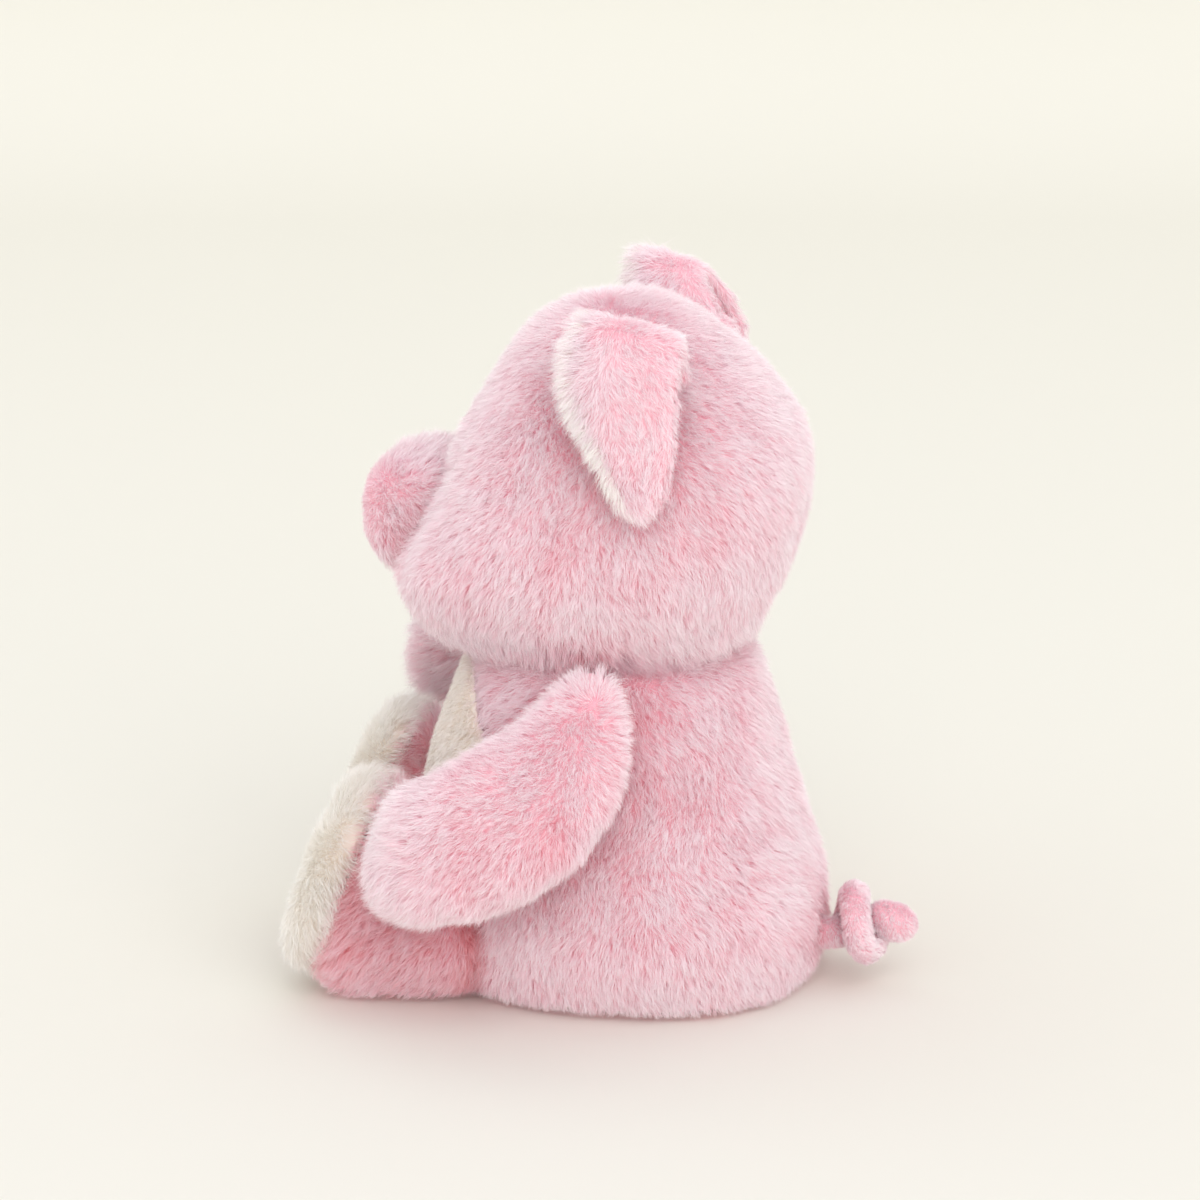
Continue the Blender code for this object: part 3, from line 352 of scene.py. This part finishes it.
def relaxed(points, corners, rounds):
    """The same net, smoothed without shrinking."""
    return averaged(points, corners, rounds, (0.5, -0.52))


def node_trees():
    """A search tree and a box for every CAD node."""
    trees = {}
    for name, thing in frame["nodes"].items():
        points, corners = mesh_arrays(thing.data)
        tree = BVHTree.FromPolygons(points.tolist(), corners.tolist())
        trees[name] = (tree, points.min(axis=0), points.max(axis=0))
    return trees


TREES = node_trees()


def buried(points, own):
    """Which points lie inside another CAD node."""
    inside = np.zeros(len(points), dtype=bool)
    for name, (tree, low, high) in TREES.items():
        if name in own:
            continue
        near = np.flatnonzero(np.all((points > low) & (points < high), axis=1) & ~inside)
        for index in near:
            point = Vector(points[index])
            found, normal, _, _ = tree.find_nearest(point)
            if found is not None and (point - found).dot(normal) < 0:
                inside[index] = True
    return inside


def painted_shade_share(points, own):
    """Painted shade: from 1 where another CAD node lies against a point to 0 where none is near it."""
    share = np.zeros(len(points))
    for name, (tree, low, high) in TREES.items():
        if name in own:
            continue
        close = np.all((points > low - PAINTED_SHADE_REACH) & (points < high + PAINTED_SHADE_REACH), axis=1)
        for index in np.flatnonzero(close & (share < 1)):
            point = Vector(points[index])
            found, normal, _, distance = tree.find_nearest(point, PAINTED_SHADE_REACH)
            if found is not None:
                within = (point - found).dot(normal) < 0
                share[index] = max(share[index], 1 if within else 1 - distance / PAINTED_SHADE_REACH)
    return share


class Skin:
    """A smoothed, inset copy of a node, which knows where its pile can grow.

    It isn't inset where a neighbour touches it, so that no crack opens between them. Near a neighbour its
    pile gets painted shade, but not near a spared one.
    """

    def __init__(
        self, node, body, slot, surface, inset, voxel=2.8 * MM, rounds=14, fill=0.9, own=(), spared=(),
        shape=None,
    ):
        points, corners = remeshed(node, voxel)
        points = relaxed(points, corners, rounds)
        if shape is not None:
            points = shape(points)
        self.outer = points
        normals = vertex_normals(points, corners)
        depth = np.broadcast_to(inset(points) if callable(inset) else inset, len(points))
        touching = buried(points + normals * CONTACT_REACH, {node, *own})
        depth = np.where(touching, CONTACT_INSET, depth)
        depth = averaged(depth[:, None], corners, 5)
        # Painted shade: the pile is painted deeper where a neighbour lies near
        painted_shade = painted_shade_share(points + normals * PAINTED_SHADE_HEIGHT, {node, *own, *spared})
        self.painted_shade = averaged(painted_shade[:, None], corners, 4)
        moved = points - normals * depth
        lowness = 1 - fade(0, SEAT_ROUND, points[:, 2])
        moved[:, 2] += (points[:, 2] - moved[:, 2]) * lowness
        moved[:, 2] = np.maximum(moved[:, 2], LEAST_HEIGHT)
        self.node, self.body, self.slot = node, body, slot
        self.points, self.corners, self.normals = moved, corners, normals
        name = f"{node}_skin"
        piece = add_piece(name, new_mesh(name, moved, corners), surface, body)
        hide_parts(node)


# Pile


class Pile:
    """How the pile of one piece grows.

    Density is in strands to a square millimetre, lean in degrees from the skin's normal at the foot and at
    the tip, swirl in degrees, and clump the share by which tips gather in tufts of the clump size. Length
    and tone can be functions of places on the skin. A tone runs from 0, the deepest pile, to 1, the palest.
    """

    def __init__(
        self, skin, surface, density, length, comb, width=0.16 * MM, lean=(26, 58), clump=0.34,
        swirl=16, tone=0.8, seed=1, keep=None, clump_size=1.9 * MM, own=(), stray=0.06,
        label="pile", slot=None,
    ):
        self.skin, self.surface, self.density, self.length, self.comb = skin, surface, density, length, comb
        self.width, self.lean, self.clump, self.swirl = width, lean, clump, swirl
        self.tone, self.seed, self.keep, self.clump_size = tone, seed, keep, clump_size
        self.own, self.stray = {skin.node, *own}, stray
        self.label, self.slot = label, slot or skin.slot

    def roots(self, rng):
        """Places on the skin where strands start, with their normals and the painted shade at each."""
        skin = self.skin
        a, b, c = (skin.points[skin.corners[:, index]] for index in range(3))
        cross = np.cross(b - a, c - a)
        areas = np.linalg.norm(cross, axis=1) / 2
        middles = (a + b + c) / 3
        ways = unit(skin.normals[skin.corners].mean(axis=1))
        outer = skin.outer[skin.corners].mean(axis=1) + ways * COVER_HEIGHT
        open_faces = ~buried(outer, self.own)
        open_faces &= ~((ways[:, 2] < BARE_SLOPE) & (middles[:, 2] < BARE_HEIGHT))
        if self.keep is not None:
            open_faces &= self.keep(middles, ways)
        areas = np.where(open_faces, areas, 0)
        count = int(areas.sum() / MM ** 2 * self.density)
        chosen = rng.choice(len(areas), size=count, p=areas / areas.sum())
        u, v = rng.random(count), rng.random(count)
        flip = u + v > 1
        u[flip], v[flip] = 1 - u[flip], 1 - v[flip]
        shares = np.stack([1 - u - v, u, v], axis=1)[:, :, None]
        picked = skin.corners[chosen]
        fields = (skin.points, skin.normals, skin.painted_shade)
        places, normals, painted_shade = ((values[picked] * shares).sum(axis=1) for values in fields)
        return places, unit(normals), painted_shade[:, 0]

    def grow(self):
        rng = np.random.default_rng(self.seed)
        roots, normals, painted_shade = self.roots(rng)
        count = len(roots)
        wide = Noise(self.seed + 100, WAVE_SIZES["wide"])
        fine = Noise(self.seed + 200, WAVE_SIZES["fine"])
        rise = Noise(self.seed + 300, WAVE_SIZES["rise"])

        # The nearest tuft's middle gives each strand the turn, size and shade that its tuft shares
        tufts = max(int(count / self.density / (self.clump_size / MM) ** 2), 8)
        heads = rng.choice(count, size=min(tufts, count), replace=False)
        tree = KDTree(len(heads))
        for index, head in enumerate(heads):
            tree.insert(roots[head], index)
        tree.balance()
        mine = np.array([tree.find(point)[1] for point in roots])
        tuft_middles = roots[heads][mine]
        tuft_turn = rng.normal(0, math.radians(TUFT_TURN), len(heads))[mine]
        tuft_size = rng.normal(1, TUFT_SIZE, len(heads))[mine]
        tuft_tone = rng.normal(0, TUFT_TONE, len(heads))[mine]

        way = self.comb(roots, normals)
        way = unit(way - normals * (way * normals).sum(axis=1, keepdims=True))
        turn = np.radians(self.swirl) * wide(roots) + np.radians(self.swirl * 0.5) * fine(roots)
        turn += tuft_turn + rng.normal(0, math.radians(STRAND_TURN), count)
        stray = rng.random(count) < self.stray
        turn[stray] += rng.normal(0, 1.0, stray.sum())
        aside = np.cross(normals, way)
        way = way * np.cos(turn)[:, None] + aside * np.sin(turn)[:, None]

        length = self.length(roots) if callable(self.length) else np.full(count, self.length)
        length = length * tuft_size * rng.uniform(*STRAND_SIZES, count)
        lift = WAVE_LIFT * rise(roots) + rng.normal(0, STRAND_LIFT, count)
        lift[stray] += STRAY_LIFT
        low = np.radians(np.clip(self.lean[0] - lift, 5, 80))[:, None]
        high = np.radians(np.clip(self.lean[1] - lift, 25, 88))[:, None]
        first = normals * np.cos(low) + way * np.sin(low)
        curl = rng.normal(0, STRAND_CURL, count)[:, None]
        second = normals * np.cos(high) + unit(way + np.cross(normals, way) * curl) * np.sin(high)

        knee = roots + first * (length * KNEE_SHARE)[:, None]
        tip = knee + second * (length * (1 - KNEE_SHARE))[:, None]
        gather = tuft_middles - roots
        gather -= normals * (gather * normals).sum(axis=1, keepdims=True)
        knee += gather * self.clump * 0.3
        tip += gather * self.clump
        for points in (knee, tip):
            points[:, 2] = np.maximum(points[:, 2], rng.uniform(0.3, 1.2, count) * MM)

        tone = self.tone(roots, normals) if callable(self.tone) else np.full(count, self.tone)
        tone = tone + tuft_tone + FINE_TONE * fine(roots) - RISE_TONE * rise(roots)
        tone += rng.normal(0, STRAND_TONE, count)
        # Painted light: paler where the skin faces up. Painted shade: deeper where a neighbour lies near.
        tone += SKYWARD_PAINTED_LIGHT * fade(0.1, 0.9, normals[:, 2]) - PAINTED_SHADE_DEPTH * painted_shade
        self.build(roots, knee, tip, normals, np.clip(tone, TONE_LEAST, TONE_MOST), rng)

    def build(self, roots, knee, tip, normals, tone, rng):
        """Bent ribbons of a foot, a knee and a tip, in pieces of a limited size."""
        count = len(roots)
        radius = (self.width / 2 * rng.uniform(*STRAND_WIDTHS, count))[:, None]
        run = unit(tip - roots)
        flat = unit(np.cross(run, normals) + 1e-6)
        roll = rng.normal(0, 1.0, count)[:, None]
        across = (flat * np.cos(roll) + np.cross(run, flat) * np.sin(roll)) * radius
        narrow = across * KNEE_WIDTH_SHARE
        rows = np.stack([roots - across, roots + across, knee - narrow, knee + narrow, tip], axis=1)
        rows[:, :, 2] = np.maximum(rows[:, :, 2], 0.1 * MM)
        pattern = np.array([(0, 1, 2), (1, 3, 2), (2, 3, 4)])
        heights = np.array((0.0, 0.0, KNEE_UV, KNEE_UV, 1.0))
        spread = np.array((-1, 1, -1, 1, 0)) * 0.004
        for part, start in enumerate(range(0, count, MOST_STRANDS)):
            chosen = slice(start, min(start + MOST_STRANDS, count))
            size = chosen.stop - chosen.start
            corners = (pattern[None] + 5 * np.arange(size)[:, None, None]).reshape(-1, 3)
            name = f"{self.skin.node}_{self.label}_{part}"
            mesh = new_mesh(name, rows[chosen].reshape(-1, 3), corners)
            places = np.empty((size, pattern.size, 2), dtype=np.float32)
            order = pattern.ravel()
            places[:, :, 0] = tone[chosen, None] + spread[order][None]
            places[:, :, 1] = heights[order][None] * 0.98 + 0.01
            mesh.uv_layers.new(name=UV_NAME).data.foreach_set("uv", places.ravel())
            add_piece(name, mesh, self.surface, self.skin.body)


# Places


def box_of(node):
    """The least and the greatest corner of a node's box."""
    low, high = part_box(node)
    return np.array(low), np.array(high)


def middle_of(node):
    low, high = box_of(node)
    return (low + high) / 2


def near(points, nodes, inner, outer):
    """From 1 within the inner distance of a node's middle to 0 beyond the outer one."""
    least = np.min([np.linalg.norm(points - middle_of(node), axis=1) for node in nodes], axis=0)
    return 1 - fade(inner, outer, least)


def parted(points, eyes):
    """From 1 where the face's pile parts beside an eye to 0 elsewhere, also at the eyes' outer corners."""
    outer = np.max([abs(middle_of(eye)[0]) for eye in eyes])
    return near(points, eyes, 9 * MM, 14 * MM) * (1 - fade(outer, outer + 4 * MM, np.abs(points[:, 0])))


def near_ear_roots(points):
    """From 1 on the head's two ear seams to 0 some way from them."""
    share = np.zeros(len(points))
    seams = {joint["name"]: np.array(joint["pos_m"]) for joint in frame["joints"]}
    for side in SIDES:
        low, high = box_of(f"ear_{side}")
        half = np.array((12 * MM, (high[1] - low[1]) / 2, 12 * MM))
        away = (points - seams[f"ear_{side}_flap"]) / half
        share = np.maximum(share, 1 - fade(0.7, 1.6, np.linalg.norm(away, axis=1)))
    return share


# Combing: each gives the way the pile lies, before it is laid on the skin


def towards(x, y, z):
    way = np.array((x, y, z), dtype=float)
    return lambda points, normals: np.broadcast_to(way, points.shape)


def comb_head(points, normals):
    """Down and outwards, away from the crown, and away from the eyes."""
    away = unit(points - np.array((0, CROWN_SETBACK, CROWN_HEIGHT)))
    way = np.array((0.0, 0.25, -1.0)) + away * np.array((0.4, 0.5, 0.0))
    for side in SIDES:
        eye = f"eye_{side}"
        share = parted(points, [eye])[:, None]
        way = way * (1 - share) + unit(points - middle_of(eye)) * share
    return way


def comb_snout(points, normals):
    """Back over the snout from the middle of its front."""
    out = (points - np.array((0, 0, SNOUT_HEIGHT))) * np.array((1.0, 0.0, 1.0))
    return unit(out) * 0.5 + np.array((0.0, 0.9, -0.25))


def comb_body(points, normals):
    """Down and outwards, and out nearly level at the neck."""
    top = box_of("body")[1][2]
    up = 0.9 * fade(top - 16 * MM, top - 8 * MM, points[:, 2]) - 1
    return np.stack([points[:, 0] * 4, points[:, 1] * 3, up], axis=1)


def comb_arm(side):
    """Away from the shoulder, down and to the front."""
    top = box_of(f"arm_{side}")[1][2]
    shoulder = np.array((middle_of(f"arm_{side}")[0], 0.0, top))

    def comb(points, normals):
        return unit(points - shoulder) + np.array((0.0, -0.35, -0.25))

    return comb


def comb_leg(side):
    """Away from the hip, to the front and down."""
    start = middle_of(f"leg_{side}") + np.array((0, 12 * MM, 0))

    def comb(points, normals):
        return unit(points - start) * 0.6 + np.array((0.0, -0.7, -0.5))

    return comb


# Dressing


def dress_body():
    own = ("belly_panel", "seat_panel", "pellet_bag")
    top = box_of("body")[1][2]

    def length(points):
        """Longer at the neck, where it meets the head's pile."""
        return 6.4 * MM + 3 * MM * fade(top - 18 * MM, top - 6 * MM, points[:, 2])

    skin = Skin("body", "root", "pink_fur", PINK_BACKING, BODY_INSET, own=own)
    Pile(skin, PINK_FUR, LONG_DENSITY, length, comb_body, seed=11, tone=0.84, own=own).grow()


def dress_head():
    eyes = ("eye_left", "eye_right")
    washers = ("eye_washer_left", "eye_washer_right")
    low = box_of("head")[0][2]

    def inset(points):
        """Nearly none round the eyes, which keep their own seats."""
        return BODY_INSET - 2.6 * MM * near(points, eyes, 9 * MM, 16 * MM)

    def length(points):
        """Longer at the ear roots and under the jowls, and shorter where the pile parts at the eyes."""
        under = 1 - fade(low + 6 * MM, low + 20 * MM, points[:, 2])
        long = 4 * MM * np.maximum(near_ear_roots(points), under)
        return 6.2 * MM + long - 3 * MM * parted(points, eyes)

    ears = [f"ear_{side}" for side in SIDES]
    skin = Skin("head", "head", "pink_fur", PINK_BACKING, inset, own=(*washers, *eyes), spared=ears)
    Pile(skin, PINK_FUR, LONG_DENSITY, length, comb_head, seed=23, tone=0.87, own=washers).grow()


def dress_snout():
    """The pile is short and pale on the snout's front, so that the nostrils show."""
    own = ("nostril_left", "nostril_right")

    def inset(points):
        return SNOUT_INSET - 1.6 * MM * fade(*SNOUT_FLAT, points[:, 1])

    def length(points):
        return 7.5 * MM - 4.2 * MM * fade(*SNOUT_SHORT, points[:, 1])

    def tone(points, normals):
        return 0.9 + 0.1 * fade(*SNOUT_PALE, points[:, 1])

    skin = Skin("snout", "head", "pink_fur", PINK_BACKING, inset, voxel=2 * MM, rounds=8, own=own)
    Pile(skin, PINK_FUR, 7, length, comb_snout, seed=31, tone=tone, own=own).grow()


def dress_arms():
    for side, way in SIDES.items():
        name = f"arm_{side}"
        low, high = box_of(name)

        def length(points, low=low, high=high):
            """Longest round the paw."""
            return 6 * MM + 3.4 * MM * fade(0.55, 0.9, (high[1] - points[:, 1]) / (high[1] - low[1]))

        skin = Skin(
            name, name, "pink_fur", PINK_BACKING, LIMB_INSET, voxel=LIMB_VOXEL, spared=tuple(TREES)
        )
        # Painted light: the far (right) arm's pile is painted paler than the near one's, where the head
        # shades it
        Pile(
            skin, PINK_FUR, LONG_DENSITY, length, comb_arm(side), seed=41 + way, tone=0.88 - 0.1 * way
        ).grow()


def dress_legs():
    for side, way in SIDES.items():
        name = f"leg_{side}"
        top = box_of(name)[1][2]

        def length(points, top=top):
            """Longer on top, where it covers the crease beside the sole."""
            return 7 * MM + 3 * MM * fade(top - 16 * MM, top - 6 * MM, points[:, 2])

        leg = Skin(name, name, "pink_fur", PINK_BACKING, LIMB_INSET, voxel=LIMB_VOXEL)
        # The legs' deep tone is partly pressed pile and mostly painted shade, from the arm above and the
        # light from behind
        Pile(leg, PINK_FUR, LONG_DENSITY, length, comb_leg(side), seed=51 + way, tone=0.36).grow()
        dress_sole(side, way)


def dress_sole(side, way):
    """Cream pile that spreads from the sole's middle and folds back over its rim."""
    node = f"sole_{side}"
    low, high = box_of(node)
    middle = middle_of(node)

    def rim(points):
        """From 0 at the sole's middle to 1 at its rim."""
        away = (points - middle) / ((high - low) / 2)
        return fade(0.5, 0.9, np.hypot(away[:, 0], away[:, 2]))

    def comb(points, normals):
        away = unit((points - middle) * np.array((1, 0, 1)))
        return away + np.array((0, 0.9, 0)) * rim(points)[:, None] + np.array((0, 0, -0.5))

    def length(points):
        return 5.6 * MM + 3.4 * MM * rim(points)

    sole = Skin(node, f"leg_{side}", "cream_fur", CREAM_BACKING, SOLE_INSET, voxel=2 * MM, rounds=8)
    Pile(sole, CREAM_FUR, 6, length, comb, seed=61 + way, swirl=24, lean=(18, 58)).grow()


def dress_ears():
    for side, way in SIDES.items():
        dress_ear(side, way)


def dress_ear(side, way):
    """An ear with a cream fringe along its front edge, and the smooth lining on its inner side."""
    node = f"ear_{side}"
    low, high = box_of(node)

    def forward(points):
        """From 0 at the ear's rear edge to 1 at its front edge."""
        return fade(0.45, 0.85, (high[1] - points[:, 1]) / (high[1] - low[1]))

    def lowness(points):
        """From 0 to 1 towards the ear's tip."""
        return fade(0.72, 0.95, (high[2] - points[:, 2]) / (high[2] - low[2]))

    def comb(points, normals):
        """Down, with the front edge's pile to the front and the rest of the tip's to the rear."""
        ahead, tip = forward(points)[:, None], lowness(points)[:, None]
        down = np.array((0.0, 0.1, -1.0)) * (1 - ahead * 0.4)
        rear = np.array((0.0, 1.2, 0.0)) * tip * (1 - ahead)
        return down + np.array((0.0, -0.9, -0.2)) * ahead + rear

    def length(points):
        return 4.6 * MM + 4.4 * MM * forward(points) + 3 * MM * lowness(points)

    # Painted light: the far (right) ear is painted a little paler than the near one. The paler front edge
    # is the ear's own colour.
    def tone(points, normals):
        return 0.94 - 0.04 * way + 0.3 * forward(points)

    def trailing(points):
        """The ear's lower part is drawn back by its own weight, and its root sinks into the head's pile."""
        share = (high[2] - points[:, 2]) / (high[2] - low[2])
        hung, rooted = fade(0.3, 0.85, share), 1 - fade(0, 0.4, share)
        moved = points + np.array((0, EAR_HANG, 0)) * hung[:, None]
        return moved - np.array((way * EAR_SINK, 0, 0)) * rooted[:, None]

    lining_node = f"ear_lining_{side}"
    skin = Skin(
        node, node, "pink_fur", SMOOTH_PINK, EAR_INSET, voxel=1.6 * MM, rounds=6, fill=0.5, shape=trailing
    )
    Pile(
        skin, PINK_FUR, 6, length, comb, seed=71 + way, tone=tone, lean=(40, 74), own=(lining_node,),
        swirl=20,
    ).grow()
    Pile(
        skin, CREAM_FUR, 7, FRINGE_LENGTH, comb, seed=76 + way, tone=0.9, lean=(30, 66), own=(lining_node,),
        keep=lambda points, normals: normals[:, 1] < FRINGE_SLOPE, label="fringe", slot="cream_fur",
    ).grow()
    lining = Skin(
        lining_node, node, "pink_pile", SMOOTH_PINK, LINING_INSET, voxel=1 * MM, rounds=2, fill=0.4,
        shape=trailing,
    )
    Pile(
        lining, PINK_FUR, 8, 3.6 * MM, towards(0, 0, -1), seed=81 + way, tone=0.96, swirl=14, lean=(24, 60)
    ).grow()


def dress_tail():
    skin = Skin("tail", "tail", "pink_pile", SMOOTH_PINK, TAIL_INSET, voxel=1.2 * MM, rounds=6)
    Pile(
        skin, PINK_FUR, 12, 2.2 * MM, towards(0.2, 1, -0.6), seed=91, tone=0.98, width=0.2 * MM, swirl=30
    ).grow()


def dress_belly():
    skin = Skin("belly_panel", "root", "cream_pile", CREAM_BACKING, 0, voxel=0.9 * MM, rounds=2, fill=0.3)
    Pile(
        skin, CREAM_FUR, 7, 3.4 * MM, towards(0, 0, -1), seed=95, tone=0.5, width=0.18 * MM,
        keep=lambda points, normals: normals[:, 1] < PANEL_SLOPE,
    ).grow()


def dress_seat():
    Skin("seat_panel", "root", "base_cloth", SMOOTH_PINK, 0, voxel=1.2 * MM, rounds=2, fill=0.3)


def finish_fittings():
    """Finishes for the pieces that show as they were modelled."""
    glossy = plain_material("eye_gloss", colour(16, 14, 15), 0.12)
    nylon = plain_material("washer_nylon", colour(222, 220, 214), 0.4)
    thread = plain_material("nostril_thread", colour(206, 120, 136), 0.75, sheen=0.4)
    bag = cloth_material("pellet_bag_cloth", colour(226, 222, 212), colour(240, 237, 229), grain=0.9 * MM)
    fittings = {"eye": glossy, "eye_washer": nylon, "nostril": thread}
    for kind, surface in fittings.items():
        for side in SIDES:
            show_as_made(f"{kind}_{side}", surface)
    show_as_made("pellet_bag", bag)


def show_as_made(node, surface):
    materials = frame["nodes"][node].data.materials
    materials.clear()
    materials.append(surface)


# Studio


def add_sun(name, place, strength, softness, tint):
    """A lamp that shines from a place to the origin, as wide as its softness in degrees."""
    lamp = bpy.data.lights.new(name, "SUN")
    lamp.energy, lamp.angle, lamp.color = strength, math.radians(softness), tint
    made = bpy.data.objects.new(name, lamp)
    bpy.context.scene.collection.objects.link(made)
    made.rotation_euler = Vector(place).to_track_quat("Z", "Y").to_euler()


def add_backdrop():
    """A pale floor that curves up behind the pig."""
    back = -Vector((CAMERA_BACK.x, CAMERA_BACK.y, 0)).normalized()
    side = Vector((-back.y, back.x, 0))
    front, reach, radius, height, half, steps = 2.5, 1.6, 1.0, 2.6, 4.0, 12
    profile = [(-front, 0.0), (0.0, 0.0), (reach, 0.0)]
    for step in range(1, steps + 1):
        angle = math.pi / 2 * step / steps
        profile.append((reach + radius * math.sin(angle), radius - radius * math.cos(angle)))
    profile.append((reach + radius, height))
    points, faces = [], []
    for along, rise in profile:
        for across in (-half, half):
            points.append(back * along + side * across + Vector((0, 0, rise)))
    for index in range(len(profile) - 1):
        faces.append((2 * index, 2 * index + 1, 2 * index + 3, 2 * index + 2))
    mesh = bpy.data.meshes.new("backdrop")
    mesh.from_pydata([tuple(point) for point in points], [], faces)
    mesh.shade_smooth()
    made = bpy.data.objects.new("backdrop", mesh)
    bpy.context.scene.collection.objects.link(made)
    paper = bpy.data.materials.new("backdrop_paper")
    paper.use_nodes = True
    surface = paper.node_tree.nodes["Principled BSDF"]
    place = paper.node_tree.nodes.new("ShaderNodeTexCoord").outputs["Object"]
    split = paper.node_tree.nodes.new("ShaderNodeSeparateXYZ")
    paper.node_tree.links.new(place, split.inputs["Vector"])
    shades = [(0.0, colour(237, 235, 227)), (0.4, colour(206, 202, 182)), (1.0, colour(198, 194, 171))]
    shade = ramp(paper.node_tree, shades, split.outputs["Z"])
    paper.node_tree.links.new(shade, surface.inputs["Base Color"])
    surface.inputs["Roughness"].default_value = 0.95
    surface.inputs["Specular IOR Level"].default_value = 0.1
    mesh.materials.append(paper)


def set_studio():
    """Soft light from all round, and a backdrop colour where the camera sees past the paper."""
    scene = bpy.context.scene
    scene.view_settings.view_transform = "Standard"
    scene.cycles.diffuse_bounces = PILE_BOUNCES
    world = bpy.data.worlds.new("studio")
    world.use_nodes = True
    tree = world.node_tree
    light = tree.nodes["Background"]
    light.inputs["Color"].default_value = (0.98, 0.98, 1.0, 1)
    light.inputs["Strength"].default_value = 0.8
    seen = tree.nodes.new("ShaderNodeBackground")
    seen.inputs["Color"].default_value = colour(244, 240, 230)
    choice = tree.nodes.new("ShaderNodeMixShader")
    tree.links.new(tree.nodes.new("ShaderNodeLightPath").outputs["Is Camera Ray"], choice.inputs["Fac"])
    tree.links.new(light.outputs["Background"], choice.inputs[1])
    tree.links.new(seen.outputs["Background"], choice.inputs[2])
    tree.links.new(choice.outputs["Shader"], tree.nodes["World Output"].inputs["Surface"])
    scene.world = world
    add_sun("key", (1.2, 0.7, 1.2), 0.92, 60, (1.0, 1.0, 0.98))
    add_sun("rim", (-1.0, -0.4, 1.0), 0.6, 80, (1.0, 1.0, 1.0))
    add_sun("fill", (1.0, 0.4, 0.35), 0.46, 60, (1.0, 0.99, 1.0))
    add_sun("front", (0.6, -1.2, 0.4), 0.24, 80, (1.0, 0.99, 1.0))
    add_backdrop()


def set_camera():
    camera = bpy.data.cameras.new("camera")
    camera.lens = CAMERA_LENS
    camera.sensor_width = CAMERA_SENSOR
    camera.clip_start, camera.clip_end = CAMERA_NEAR, CAMERA_FAR
    made = bpy.data.objects.new("camera", camera)
    bpy.context.scene.collection.objects.link(made)
    made.location = CAMERA_TARGET + CAMERA_BACK * CAMERA_DISTANCE
    made.rotation_euler = CAMERA_BACK.to_track_quat("Z", "Y").to_euler()
    bpy.context.scene.camera = made


set_camera()
set_studio()
dress_body()
dress_head()
dress_snout()
dress_arms()
dress_legs()
dress_ears()
dress_tail()
dress_belly()
dress_seat()
finish_fittings()
